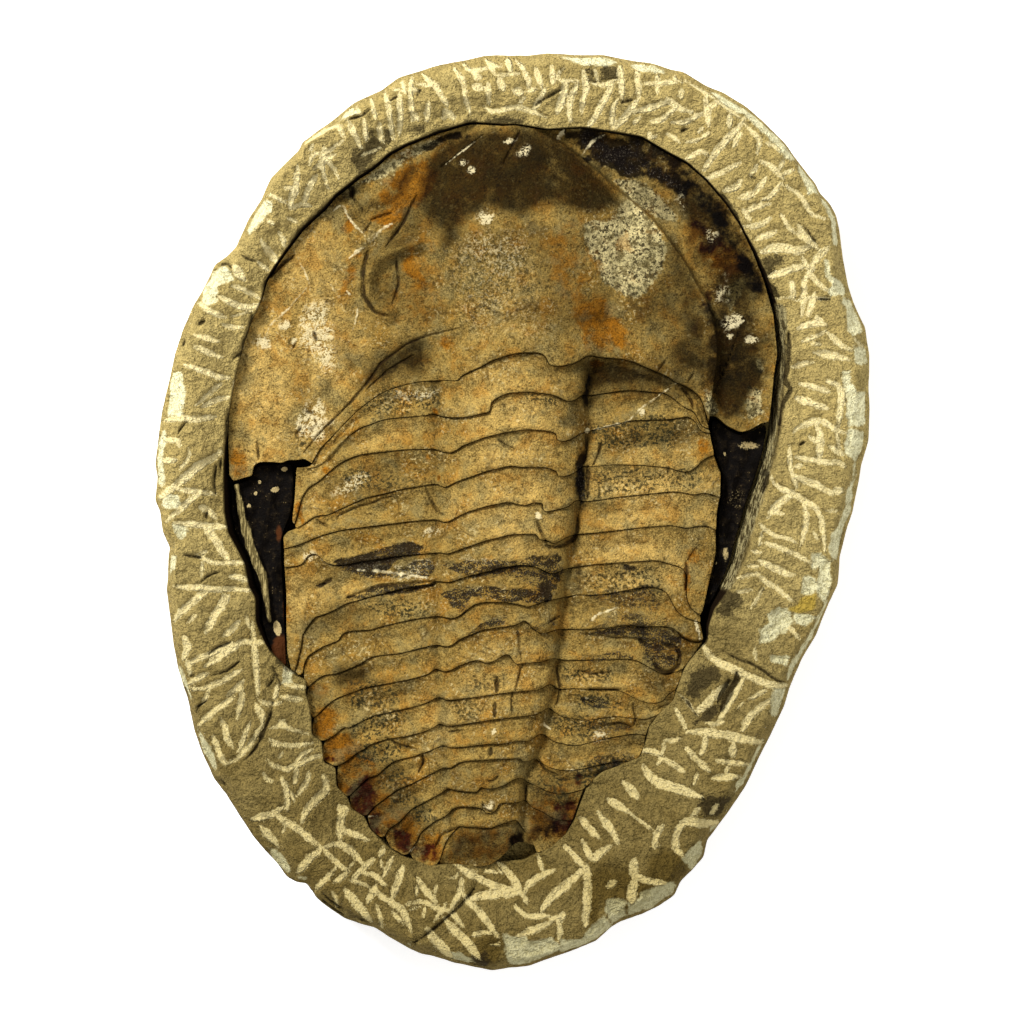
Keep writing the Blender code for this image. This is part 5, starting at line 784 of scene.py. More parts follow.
# Crumbs and stains on the black spine casts
CAST_STAINS = {
    "wine": [
        (-66, -41, 3, 6, 1.3), (-66.5, -6, 1.2, 3, 0.7), (-64.6, -14, 0.8, 3, 0.8),
        (-65, -24, 0.6, 10, 0.6),
    ],
    "chalk": [
        (-67.6, 6.4, 1.3, 0.7, 1.4, 10), (-73.2, 5.3, 0.5, 0.5, 1.4), (-75, 1.8, 0.6, 0.5, 1.3),
        (-67, -33.2, 1.2, 2.2, 1.2, 10), (-65, 12.2, 1, 0.6, 1.2), (-72, 8.6, 0.5, 0.6, 1.1),
        (68, 23.8, 2.4, 0.6, 1.1, 30), (60.7, 16.6, 0.5, 0.5, 1.2), (67.5, 19, 4, 1.6, 0.62),
        (64, 4, 4, 6, 0.4), (58, -14.6, 0.5, 0.4, 1.3), (61, -12, 1.2, 3, 0.6),
    ],
}


def soften(points, step=0.5, passes=3):
    """A line through the points at an even step, with its corners rounded a little."""
    points = np.array(points, float)
    run = np.concatenate([[0.0], np.cumsum(np.hypot(*np.diff(points, axis=0).T))])
    along = np.linspace(0.0, run[-1], max(3, int(run[-1] / step) + 1))
    line = np.stack([np.interp(along, run, points[:, k]) for k in range(2)], axis=1)
    for _ in range(passes):
        line[1:-1] = (line[:-2] + 2 * line[1:-1] + line[2:]) / 4
    return line


def spread(line, count):
    """The line again as a number of evenly spaced points."""
    run = np.concatenate([[0.0], np.cumsum(np.hypot(*np.diff(line, axis=0).T))])
    along = np.linspace(0.0, run[-1], count)
    return np.stack([np.interp(along, run, line[:, k]) for k in range(2)], axis=1)


def shift(line, amount):
    """The line moved sideways, to the left of its direction of travel for a positive amount."""
    way = np.gradient(line, axis=0)
    way /= np.hypot(way[:, 0], way[:, 1])[:, None] + 1e-9
    return line + amount * np.stack([-way[:, 1], way[:, 0]], axis=1)


def nearest(line, x, y):
    """Distance to the line, its side (positive to the left of its travel) and the share of it passed."""
    best = np.full(np.shape(x), 1e9)
    side, passed = np.zeros(np.shape(x)), np.zeros(np.shape(x))
    for step, ((ax, ay), (bx, by)) in enumerate(zip(line[:-1], line[1:])):
        ex, ey = bx - ax, by - ay
        t = np.clip(((x - ax) * ex + (y - ay) * ey) / (ex * ex + ey * ey + 1e-12), 0, 1)
        gap = np.hypot(x - ax - t * ex, y - ay - t * ey)
        closer = gap < best
        best = np.where(closer, gap, best)
        side = np.where(closer, ex * (y - ay) - ey * (x - ax), side)
        passed = np.where(closer, (step + t) / (len(line) - 1), passed)
    return best, np.sign(side), passed


def depth_in(x, y, shapes, closed, reach=2.5):
    """How far inside the nearest stroke or area each place lies, in mm, and less than 0 outside."""
    depth = np.full(np.shape(x), -reach)
    for shape in shapes:
        half = 0.0 if closed else shape[0] / 2
        line = np.reshape(shape if closed else shape[1:], (-1, 2)).astype(float)
        line = np.concatenate([line, line[:1]]) if closed else soften(line, 0.8, 1)
        low, high = line.min(axis=0) - reach - half, line.max(axis=0) + reach + half
        close = np.flatnonzero((x > low[0]) & (x < high[0]) & (y > low[1]) & (y < high[1]))
        if not len(close):
            continue
        gap, _, passed = nearest(line, x[close], y[close])
        if closed:
            gap = np.where(encloses(line, x[close], y[close]), -gap, gap)
        uneven = 0.35 * grain(x[close], y[close], 2.5, 40)
        width = half * (1.25 + uneven - 0.8 * np.abs(2 * passed - 1) ** 3)
        depth[close] = np.maximum(depth[close], width - gap)
    return depth


def encloses(ring, x, y):
    """Whether a closed line runs round each place."""
    inside = np.zeros(np.shape(x), bool)
    for (ax, ay), (bx, by) in zip(ring[:-1], ring[1:]):
        if ay != by:
            inside ^= ((ay > y) != (by > y)) & (x < ax + (y - ay) * (bx - ax) / (by - ay))
    return inside


def ease(a, b, value):
    """A smooth step from 0 at a to 1 at b."""
    t = np.clip((value - a) / (b - a), 0, 1)
    return t * t * (3 - 2 * t)


def grain(x, y, size, seed):
    """Smooth lumps of about the given size, from -1 to 1."""
    lattice = np.random.default_rng(seed).uniform(-1, 1, (256, 256))
    u, v = x / size + 61.3, y / size + 47.9
    i, j = np.floor(u).astype(int), np.floor(v).astype(int)
    s, t = ease(0, 1, u - i), ease(0, 1, v - j)
    i0, i1, j0, j1 = i % 256, (i + 1) % 256, j % 256, (j + 1) % 256
    low = lattice[i0, j0] * (1 - s) + lattice[i1, j0] * s
    high = lattice[i0, j1] * (1 - s) + lattice[i1, j1] * s
    return low * (1 - t) + high * t


def by_angle(table, angle):
    """A value read from a table of (degrees, value) round the slab."""
    degrees, values = np.array(table, float).T
    return np.interp(np.degrees(angle), degrees, values, period=360)


def blots(x, y, places):
    """Soft oval patches, each (x, y, half width, half height, strength) and perhaps a turn in degrees."""
    total = np.zeros(np.shape(x))
    for cx, cy, wide, high, strength, *turn in places:
        turn = np.radians(sum(turn))
        c, s = np.cos(turn), np.sin(turn)
        u = ((x - cx) * c + (y - cy) * s) / wide
        v = ((y - cy) * c - (x - cx) * s) / high
        total = np.maximum(total, strength * np.exp(-((u * u + v * v) ** 1.5)))
    return total


def stir(x, y, reach=1.0):
    """Places nudged about, so that what is drawn from them has wandering edges."""
    dx = 2.2 * grain(x, y, 8, 31) + 1.3 * grain(x, y, 3.2, 32) + 0.6 * grain(x, y, 1.3, 33)
    dy = 2.2 * grain(x, y, 8, 34) + 1.3 * grain(x, y, 3.2, 35) + 0.6 * grain(x, y, 1.3, 36)
    return x + reach * dx, y + reach * dy


def furrow_places(y):
    """The x of the furrows left and right of the axis."""
    places = np.array(FURROWS, float)
    return np.interp(y, places[:, 0], places[:, 1]), np.interp(y, places[:, 0], places[:, 2])


def bed_height(x, y):
    """The broad vault on which all the fossil's pieces lie."""
    return 19.0 + 6.0 * np.exp(-((x / 42.0) ** 2) - ((y - 20) / 150.0) ** 2)


def thorax_height(x, y):
    """The thorax without its steps: a raised axis between two flatter side lobes."""
    left, right = furrow_places(y)
    middle, half = (left + right) / 2, (right - left) / 2
    across = np.clip((x - middle) / half, -1, 1)
    floor = np.interp(y, [-100, -60, 0, 45], [24.6, 26.6, 28.4, 29.6])
    arch = np.interp(y, [-100, -88, -60, 0, 45], [2.2, 2.8, 4.8, 6.4, 7.4])
    rise = arch * (1 - np.abs(across) ** np.where(across < 0, 2.0, 3.4))
    out = np.maximum(np.maximum(left - x, x - right), 0)
    fall = 3.6 * (out / 42) ** 1.8
    groove = 0.9 * np.exp(-(((x - left) / 2.0) ** 2)) + 1.2 * np.exp(-(((x - right) / 1.7) ** 2))
    return floor + rise - fall - groove


def cephalon_height(x, y):
    """The head shield: a domed glabella, soft on its left and dropping off sharply on its right."""
    spread_left = np.interp(y, [40, 60, 85, 110], [34, 40, 36, 22])
    broad = np.exp(-(((x - 6) / np.where(x < 6, spread_left, 60)) ** 2))
    front = 1 - 0.62 * ease(78, 112, y)
    half = np.interp(y, [40, 55, 85, 110], [22, 24, 30, 16])
    lobe = np.clip(1 - (np.abs(x - 3) / half) ** 2.6, 0, 1)
    height = 26.6 + (5.6 * broad + 5.0 * lobe) * front
    gap, side, _ = nearest(soften(DOME_EDGE, 2.0), x, y)
    beyond = 26.0 + 1.2 * ease(6, 16, gap)
    outside = np.where(side > 0, ease(-0.8, 1.2, gap), 0) * ease(112, 104, y)
    height += (np.minimum(height, beyond) - height) * outside
    eye, _, _ = nearest(soften(EYE_RIDGE, 2.0), x, y)
    height += 2.4 * np.exp(-((eye / 1.9) ** 2)) - 0.8 * np.exp(-(((eye - 4.0) / 1.6) ** 2))
    hind, _, _ = nearest(soften(HIND_EDGES[0], 2.0), x, y)
    fold = 0.9 * np.exp(-(((hind - 2.5) / 3.0) ** 2)) - 0.9 * np.exp(-(((hind - 9.5) / 2.4) ** 2))
    height += fold * ease(64, 56, np.abs(x)) * ease(-4, 4, 60 - y)
    return height + 0.6 * grain(x, y, 9, 3) + 0.3 * grain(x, y, 3.5, 4) + 0.12 * grain(x, y, 1.2, 5)


def segment_height(x, y, along):
    """One segment's top, where along runs from 0 at its front to 1 at its hind edge."""
    left, right = furrow_places(y)
    out = np.maximum(np.maximum(left - x, x - right), 0)
    trough = ease(3, 9, out) * ease(38, 24, out)
    step = 0.36 + 0.34 * ease(3, 0, out) + 0.2 * grain(x, y, 14, 13) + 0.15 * grain(x, y, 4, 14)
    step = step * (1 - 0.55 * ease(-42, -54, y) * ease(1, 6, x - right))
    lift = step * (-0.6 + 2.2 * np.asarray(along) ** 0.8 - 0.6 * ease(0.9, 1.0, along))
    wear = 0.3 * grain(x, y, 8, 6) + 0.25 * grain(x, y, 3, 7) + 0.12 * grain(x, y, 1.1, 8)
    return thorax_height(x, y) + lift + wear - 0.9 * trough * np.exp(-(((along - 0.5) / 0.2) ** 2))


def tail_height(x, y):
    """The small tail shield, lower toward its hind edge."""
    wear = 0.25 * grain(x, y, 6, 9) + 0.12 * grain(x, y, 2.2, 10)
    return thorax_height(x, y) - 0.6 + 0.8 * ease(-88, -92, y) - 1.4 * ease(-96, -101, y) + wear


def spine_height(x, y):
    """The sunken black cast of a cheek spine."""
    wear = 0.5 * grain(x, y, 5, 11) + 0.3 * grain(x, y, 1.8, 12)
    return 22.6 + 0.35 * np.sin(0.9 * x + 0.31 * y) + 0.3 * np.sin(0.23 * y - 1.1 * x) + wear


def outline_reach(outline, angles):
    """How far an outline lies from the origin at each angle."""
    line = soften(outline + outline[:1], 0.5, 2)
    turn, far = np.arctan2(line[:, 1], line[:, 0]), np.hypot(line[:, 0], line[:, 1])
    order = np.argsort(turn)
    return np.interp(angles, turn[order], far[order], period=2 * np.pi)


def patch(front, hind, left, right):
    """Points filling the area inside four lines: rows from front to hind, each from left to right.

    The bulge of each end line dies away within a few columns of it.
    """
    u = np.linspace(0, 1, len(front))[None, :, None]
    v = np.linspace(0, 1, len(left))[:, None, None]
    spots = (1 - v) * front[None] + v * hind[None]
    for line, end, fade in ((left, 0, (1 - u) ** 12), (right, -1, u ** 12)):
        across = v[:, 0]
        fitted = line + (1 - across) * (front[end] - line[0]) + across * (hind[end] - line[-1])
        chord = (1 - across) * front[end] + across * hind[end]
        spots = spots + fade * (fitted - chord)[:, None, :]
    return spots


def hind_edge(number, counts=EDGE_STEPS):
    """A hind edge with set numbers of steps left of the axis, across it and right of it."""
    line = soften(HIND_EDGES[number])
    left, right = furrow_places(line[:, 1])
    first = int(np.argmax(line[:, 0] > left))
    last = len(line) - 1 - int(np.argmax((line[:, 0] < right)[::-1]))
    spans = zip(((0, first), (first, last), (last, len(line) - 1)), counts)
    pieces = [spread(line[a:b + 1], count + 1) for (a, b), count in spans]
    return np.concatenate([pieces[0], pieces[1][1:], pieces[2][1:]])


def read_points(mesh):
    """The mesh's vertices as an array."""
    points = np.empty(len(mesh.vertices) * 3, np.float32)
    mesh.vertices.foreach_get("co", points)
    return points.reshape(-1, 3).astype(float)


def write_points(mesh, points):
    """Puts the mesh's vertices at new places, given in millimetres."""
    mesh.vertices.foreach_set("co", (points * MM).astype(np.float32).ravel())
    mesh.update()


def write_layer(mesh, name, values):
    """Stores one number per vertex for the materials to read."""
    layer = mesh.attributes.new(name, "FLOAT", "POINT")
    layer.data.foreach_set("value", np.asarray(values, np.float32))


def add_piece(mesh, name, node, material):
    """Shows the finished mesh in place of its plain solid."""
    piece = bpy.data.objects.new(name, mesh)
    bpy.context.scene.collection.objects.link(piece)
    mesh.materials.append(material)
    mesh.shade_smooth()
    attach(piece, "root")
    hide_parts(node)
    return piece


def plate(name, node, material, lines, top, layers):
    """A closed plate inside its front, hind, left and right lines, under a finely shaped top."""
    front, hind, left, right = lines
    rows, columns = len(left) - 1, len(front) - 1
    spots = patch(front, hind, left, right)
    bm = bmesh.new()
    bmesh.ops.create_grid(bm, x_segments=columns, y_segments=rows, size=1.0)
    upper = len(bm.verts)
    rim = [edge for edge in bm.edges if edge.is_boundary]
    skirt = bmesh.ops.extrude_edge_only(bm, edges=rim)["geom"]
    lower = [e for e in skirt if isinstance(e, bmesh.types.BMEdge) and e.is_boundary]
    bmesh.ops.edgeloop_fill(bm, edges=lower)
    bmesh.ops.recalc_face_normals(bm, faces=bm.faces)
    mesh = bpy.data.meshes.new(name)
    bm.to_mesh(mesh)
    bm.free()
    flat = read_points(mesh)
    column = np.round((flat[:, 0] + 1) / 2 * columns).astype(int)
    row = np.round((1 - flat[:, 1]) / 2 * rows).astype(int)
    x, y = spots[row, column].T
    lift, values = layers(x, y)
    z = top(x, y, row / rows) + lift
    z[upper:] = bed_height(x[upper:], y[upper:])
    write_points(mesh, np.stack([x, y, z], axis=1))
    values["along"] = row / rows
    for layer in values:
        write_layer(mesh, layer, values[layer])
    return add_piece(mesh, name, node, material)


def srgb(red, green, blue):
    """A colour given in the usual 0 to 255, as linear light."""
    shares = [c / 255 for c in (red, green, blue)]
    return [c / 12.92 if c <= 0.04045 else ((c + 0.055) / 1.055) ** 2.4 for c in shares] + [1.0]


def linear(colours):
    """The named colours of a finish, as linear light."""
    return {name: srgb(*colour) for name, colour in colours.items()}


class Finish:
    """The node graph of one material, measured in millimetres."""

    def __init__(self, name, roughness, sheen):
        self.material = bpy.data.materials.new(name)
        self.material.use_nodes = True
        self.tree = self.material.node_tree
        self.shader = self.tree.nodes["Principled BSDF"]
        self.shader.inputs["Roughness"].default_value = roughness
        self.shader.inputs["Specular IOR Level"].default_value = sheen
        where = self.tree.nodes.new("ShaderNodeTexCoord").outputs["Object"]
        self.place = self.vector("SCALE", where, scale=1000.0)

    def feed(self, socket, value):
        if isinstance(value, bpy.types.NodeSocket):
            self.tree.links.new(value, socket)
        else:
            socket.default_value = value

    def vector(self, operation, first, second=None, scale=None):
        node = self.tree.nodes.new("ShaderNodeVectorMath")
        node.operation = operation
        self.feed(node.inputs[0], first)
        if second is not None:
            self.feed(node.inputs[1], second)
        if scale is not None:
            self.feed(node.inputs["Scale"], scale)
        return node.outputs[0]

    def math(self, operation, first, second=0.0, third=0.0):
        node = self.tree.nodes.new("ShaderNodeMath")
        node.operation = operation
        for socket, value in zip(node.inputs, (first, second, third)):
            self.feed(socket, value)
        return node.outputs[0]

    def times(self, first, second):
        return self.math("MULTIPLY", first, second)

    def plus(self, first, second):
        return self.math("ADD", first, second)

    def less(self, first, second):
        return self.math("SUBTRACT", first, second)

    def layer(self, name):
        node = self.tree.nodes.new("ShaderNodeAttribute")
        node.attribute_name = name
        return node.outputs["Fac"]

    def noise(self, size, detail=2.0, rough=0.5, stretch=None):
        node = self.tree.nodes.new("ShaderNodeTexNoise")
        place = self.place if stretch is None else self.vector("MULTIPLY", self.place, stretch)
        self.feed(node.inputs["Vector"], place)
        node.inputs["Scale"].default_value = 1.0 / size
        node.inputs["Detail"].default_value = detail
        node.inputs["Roughness"].default_value = rough
        return node.outputs["Fac"]

    def amount(self, value, low, high):
        """0 where value is at low, 1 where it is at high."""
        node = self.tree.nodes.new("ShaderNodeMapRange")
        node.interpolation_type = "SMOOTHSTEP"
        self.feed(node.inputs["Value"], value)
        node.inputs["From Min"].default_value = low
        node.inputs["From Max"].default_value = high
        return node.outputs["Result"]

    def patchy(self, layer, texture, soft=0.12):
        """Turns a soft weight into ragged patches: the texture decides where its edge runs."""
        weight = self.layer(layer)
        reach = self.less(weight, self.less(1.0, texture))
        return self.times(self.amount(reach, -soft, soft), self.amount(weight, 0.0, 0.6))

    def edged(self, layer, wobble, soft=0.15):
        """1 inside the shapes whose depth the layer holds, with an edge made uneven by the wobble."""
        return self.amount(self.plus(self.layer(layer), wobble), -soft, soft)

    def wobble(self, texture, reach):
        return self.times(self.less(texture, 0.5), reach)

    def wrinkles(self, size, wander, seed):
        """Fine branching lines: 1 on a line, 0 away from it."""
        node = self.tree.nodes.new("ShaderNodeTexVoronoi")
        node.feature = "DISTANCE_TO_EDGE"
        node.inputs["Scale"].default_value = 1.0 / size
        bent = self.tree.nodes.new("ShaderNodeTexNoise")
        bent.inputs["Scale"].default_value = 0.8 / size
        bent.inputs["Detail"].default_value = 3.0
        self.feed(bent.inputs["Vector"], self.vector("ADD", self.place, (seed, 2 * seed, 0)))
        offset = self.vector("SCALE", bent.outputs["Color"], scale=wander)
        self.feed(node.inputs["Vector"], self.vector("ADD", self.place, offset))
        return self.amount(node.outputs["Distance"], 0.035, 0.0)

    def blend(self, share, first, second, mode="MIX"):
        node = self.tree.nodes.new("ShaderNodeMix")
        node.data_type = "RGBA"
        node.blend_type = mode
        self.feed(node.inputs[0], share)
        self.feed(node.inputs[6], first)
        self.feed(node.inputs[7], second)
        return node.outputs[2]

    def bumps(self, height, strength):
        node = self.tree.nodes.new("ShaderNodeBump")
        node.inputs["Distance"].default_value = MM
        node.inputs["Strength"].default_value = strength
        self.feed(node.inputs["Height"], height)
        self.feed(self.shader.inputs["Normal"], node.outputs["Normal"])

    def done(self, colour):
        self.feed(self.shader.inputs["Base Color"], colour)
        return self.material


def shell_finish(name, banded=False):
    """Mineralised shell: ochre and tan, darkened with olive and with painted shade, and rusty, sooty or
    chalky in patches, the thorax with painted light along its segments.
    """
    f = Finish(name, 0.72, 0.05)
    hue = linear(SHELL_COLOURS)
    cloud = f.noise(9.0, 2.0, 0.6)
    blotch = f.noise(3.4, 3.0, 0.65)
    mottle = f.noise(1.4, 2.0, 0.65)
    fine = f.noise(0.5, 2.0, 0.7)
    streak = f.noise(1.7, 4.0, 0.7, (0.3, 1.0, 1.0) if banded else (0.8, 0.6, 1.0))
    grit = f.amount(f.times(f.plus(fine, mottle), 0.5), 0.38, 0.62)
    smears = f.amount(f.times(f.plus(fine, streak), 0.5), 0.4, 0.6)
    uneven = f.plus(f.times(f.plus(cloud, blotch), 0.9), 0.15)
    colour = f.blend(f.amount(cloud, 0.35, 0.65), hue["base"], hue["brown"])
    tan = f.math("MINIMUM", f.times(f.layer("tan"), uneven), 1.0)
    colour = f.blend(tan, colour, hue["tan"])
    rust = f.patchy("rust", f.amount(blotch, 0.3, 0.7), 0.5)
    colour = f.blend(f.times(rust, 0.9), colour, hue["rust"])
    wine = f.patchy("wine", f.amount(blotch, 0.3, 0.7), 0.5)
    colour = f.blend(f.times(wine, 0.95), colour, hue["wine"])
    flake = f.edged("flake", f.wobble(mottle, 3.0), 0.5)
    specks = f.blend(f.amount(f.noise(1.1, 2.0, 0.7), 0.5, 0.42), hue["bare"], hue["bare_dots"])
    specks = f.blend(f.amount(blotch, 0.5, 0.36), specks, hue["bare_blotch"])
    colour = f.blend(f.times(flake, 0.85), colour, specks)
    drift = f.noise(6.0, 3.0, 0.6)
    colour = f.blend(f.times(f.amount(drift, 0.5, 0.66), 0.5), colour, hue["grey"])
    colour = f.blend(f.times(f.amount(drift, 0.48, 0.34), 0.5), colour, hue["ochre"])
    tone = f.plus(f.times(cloud, 0.3), f.times(blotch, 0.4))
    tone = f.plus(tone, f.times(f.plus(streak, mottle), 0.35))
    sand = f.noise(0.42, 1.0, 0.5)
    tone = f.plus(tone, f.plus(f.times(fine, 0.65), f.times(sand, 0.55)))
    # Painted light on the thorax: each segment lighter towards its raised hind edge and darker at its front
    if banded:
        along = f.layer("along")
        crest = f.less(f.amount(along, 0.2, 0.75), f.amount(along, 0.35, 0.0))
        tone = f.plus(tone, f.times(f.less(crest, 0.5), 0.08))
    dim = f.blend(1.0, colour, [0.36, 0.34, 0.28, 1.0], "MULTIPLY")
    bright = f.blend(1.0, colour, [1.55, 1.52, 1.45, 1.0], "MULTIPLY")
    colour = f.blend(f.times(f.amount(tone, 1.31, 1.1), 0.85), colour, dim)
    colour = f.blend(f.times(f.amount(tone, 1.3, 1.49), 0.85), colour, bright)
    crumbs = f.noise(0.9, 2.0, 0.6)
    pepper = f.times(f.amount(crumbs, 0.42, 0.36), f.amount(blotch, 0.6, 0.42))
    colour = f.blend(f.times(pepper, 0.62), colour, hue["pepper"])
    flecks = f.times(f.amount(crumbs, 0.58, 0.64), f.amount(cloud, 0.48, 0.62))
    flecks = f.times(flecks, f.amount(f.plus(wine, rust), 0.5, 0.1))
    colour = f.blend(f.times(flecks, 0.5), colour, hue["crumb"])
    # Olive stain and painted shade, darkening the shell
    olive_and_painted_shade = f.math("MINIMUM", f.times(f.layer("olive_and_painted_shade"), uneven), 1.0)
    colour = f.blend(olive_and_painted_shade, colour, f.blend(1.0, colour, [0.1, 0.088, 0.055, 1.0], "MULTIPLY"))
    # Painted shade, with some dark stain, in the gutter beside the dome, along the right furrow and at the
    # head's rim
    dark_and_painted_shade = f.patchy("dark_and_painted_shade", f.amount(blotch, 0.3, 0.7), 0.5)
    colour = f.blend(dark_and_painted_shade, colour, f.blend(1.0, colour, [0.06, 0.055, 0.05, 1.0], "MULTIPLY"))
    moss = f.times(f.amount(f.layer("moss"), 0.0, 0.5), f.amount(crumbs, 0.5, 0.43))
    colour = f.blend(f.times(moss, 0.8), colour, hue["moss"])
    colour = f.blend(f.times(f.patchy("chalk", grit, 0.25), 0.75), colour, hue["chalk"])
    soot = f.patchy("soot", smears, 0.2)
    sooty = f.blend(f.amount(fine, 0.56, 0.7), hue["soot"], hue["ash"])
    colour = f.blend(f.times(soot, 0.93), colour, sooty)
    hair = f.times(f.wrinkles(13.0, 12.0, 3.0), f.amount(cloud, 0.5, 0.62))
    colour = f.blend(f.times(hair, 0.5), colour, hue["hair"])
    # Cracks painted dark, partly as shade in them
    crack = f.edged("crack", f.plus(f.wobble(mottle, 1.1), -0.08), 0.2)
    crack = f.times(crack, f.amount(blotch, 0.25, 0.45))
    colour = f.blend(f.times(crack, 0.85), colour, hue["crack"])
    vein = f.edged("vein", f.plus(f.wobble(mottle, 1.4), -0.12), 0.2)
    vein = f.times(vein, f.amount(blotch, 0.35, 0.6))
    colour = f.blend(f.times(vein, 0.75), colour, hue["vein"])
    rough = f.plus(f.times(fine, 0.9), f.times(mottle, 1.3))
    f.bumps(f.less(rough, f.amount(f.layer("crack"), -0.3, 0.3)), 0.7)
    return f.done(colour)


def stone_finish(name):
    """Ochre siltstone, powdery and cream where a chisel or scribe has cut it."""
    f = Finish(name, 0.95, 0.03)
    hue = linear(STONE_COLOURS)
    cloud = f.noise(11.0, 2.0, 0.6)
    blotch = f.noise(3.6, 3.0, 0.68)
    mottle = f.noise(1.5, 2.0, 0.65)
    fine = f.noise(0.5, 2.0, 0.7)
    speckle = f.plus(f.times(fine, 0.5), f.times(mottle, 0.5))
    # Painted shade: the stone darkened towards the bottom and at its darker places
    painted_shade = f.times(f.layer("painted_shade"), f.plus(0.7, f.times(cloud, 0.6)))
    colour = f.blend(f.amount(cloud, 0.3, 0.7), hue["light"], hue["base"])
    colour = f.blend(painted_shade, colour, hue["painted_shade"])
    tone = f.plus(f.times(cloud, 0.3), f.times(blotch, 0.5))
    tone = f.plus(tone, f.plus(f.times(mottle, 0.5), f.times(fine, 0.6)))
    tone = f.plus(tone, f.times(f.noise(0.42, 1.0, 0.5), 0.6))
    dim = f.blend(1.0, colour, [0.5, 0.49, 0.45, 1.0], "MULTIPLY")
    bright = f.blend(1.0, colour, [1.4, 1.38, 1.36, 1.0], "MULTIPLY")
    colour = f.blend(f.times(f.amount(tone, 1.28, 1.04), 0.9), colour, dim)
    colour = f.blend(f.times(f.amount(tone, 1.28, 1.48), 0.85), colour, bright)
    facet = f.edged("facet", f.wobble(blotch, 3.2), 0.4)
    crust = f.blend(f.amount(speckle, 0.54, 0.42), hue["facet"], hue["facet_dots"])
    # Facets darkened by the same painted shade
    crust = f.blend(f.times(painted_shade, 0.8), crust, hue["facet_painted_shade"])
    colour = f.blend(f.times(facet, 0.92), colour, crust)
    colour = f.blend(f.times(f.edged("amber", f.wobble(blotch, 2.6), 0.5), 0.8), colour, hue["amber"])
    ledge = f.edged("ledge", f.wobble(blotch, 2.0), 0.5)
    fibres = f.amount(f.noise(1.0, 3.0, 0.6, (1.6, 0.16, 1.0)), 0.42, 0.58)
    strands = f.blend(fibres, hue["strand"], hue["strand_light"])
    colour = f.blend(f.times(ledge, 0.9), colour, strands)
    # Dark patches: soot, and painted shade where they lie along the fossil's edge
    soot = f.edged("soot", f.wobble(f.times(f.plus(speckle, blotch), 0.5), 14.0), 0.6)
    colour = f.blend(f.times(soot, 0.8), colour, hue["soot"])
    feather = f.plus(f.wobble(f.noise(0.8, 4.0, 0.8), 2.6), 0.02)
    cut = f.times(f.edged("mark", feather, 0.25), f.plus(0.62, f.amount(blotch, 0.3, 0.6)))
    cut = f.math("MINIMUM", cut, 0.95)
    cream = f.blend(f.amount(fine, 0.35, 0.65), hue["cut"], hue["cut_light"])
    # Tool marks darkened by the same painted shade
    cream = f.blend(f.times(painted_shade, 0.75), cream, hue["cut_painted_shade"])
    colour = f.blend(cut, colour, cream)
    # Dark of the cracks and clefts, partly painted shade in them
    gap = f.edged("gap", f.wobble(mottle, 1.2), 0.25)
    colour = f.blend(f.times(gap, 0.85), colour, hue["gap"])
    # Painted shade: the recess wall and bed coloured nearly black
    colour = f.blend(f.layer("painted_recess_shade"), colour, hue["painted_recess_shade"])
    rough = f.plus(f.times(fine, 0.8), f.times(mottle, 2.6))
    grooves = f.plus(f.edged("mark", f.wobble(mottle, 1.2), 0.3), f.amount(f.layer("gap"), -0.3, 0.3))
    f.bumps(f.less(rough, grooves), 0.9)
    return f.done(colour)


def cast_finish(name):
    """Black cast of a spine, with earthy crumbs in its hollows and a pale ridge along one side."""
    f = Finish(name, 0.7, 0.05)
    hue = linear(CAST_COLOURS)
    mottle = f.noise(1.8, 4.0, 0.7)
    fine = f.noise(0.5, 2.0, 0.6)
    speckle = f.plus(f.times(fine, 0.6), f.times(mottle, 0.4))
    colour = f.blend(f.amount(mottle, 0.45, 0.75), hue["black"], hue["brown"])
    colour = f.blend(f.times(f.amount(speckle, 0.63, 0.68), 0.75), colour, hue["crumb"])
    colour = f.blend(f.times(f.patchy("wine", mottle, 0.2), 0.9), colour, hue["wine"])
    colour = f.blend(f.times(f.patchy("chalk", speckle, 0.1), 0.9), colour, hue["chalk"])
    fibres = f.amount(f.noise(0.9, 3.0, 0.6, (1.8, 0.2, 1.0)), 0.45, 0.6)
    strands = f.blend(fibres, hue["ridge"], hue["ridge_light"])
    colour = f.blend(f.times(f.edged("ridge", f.wobble(mottle, 0.8), 0.2), 0.95), colour, strands)
    f.bumps(f.plus(f.times(fine, 0.6), f.times(mottle, 1.5)), 0.6)
    return f.done(colour)


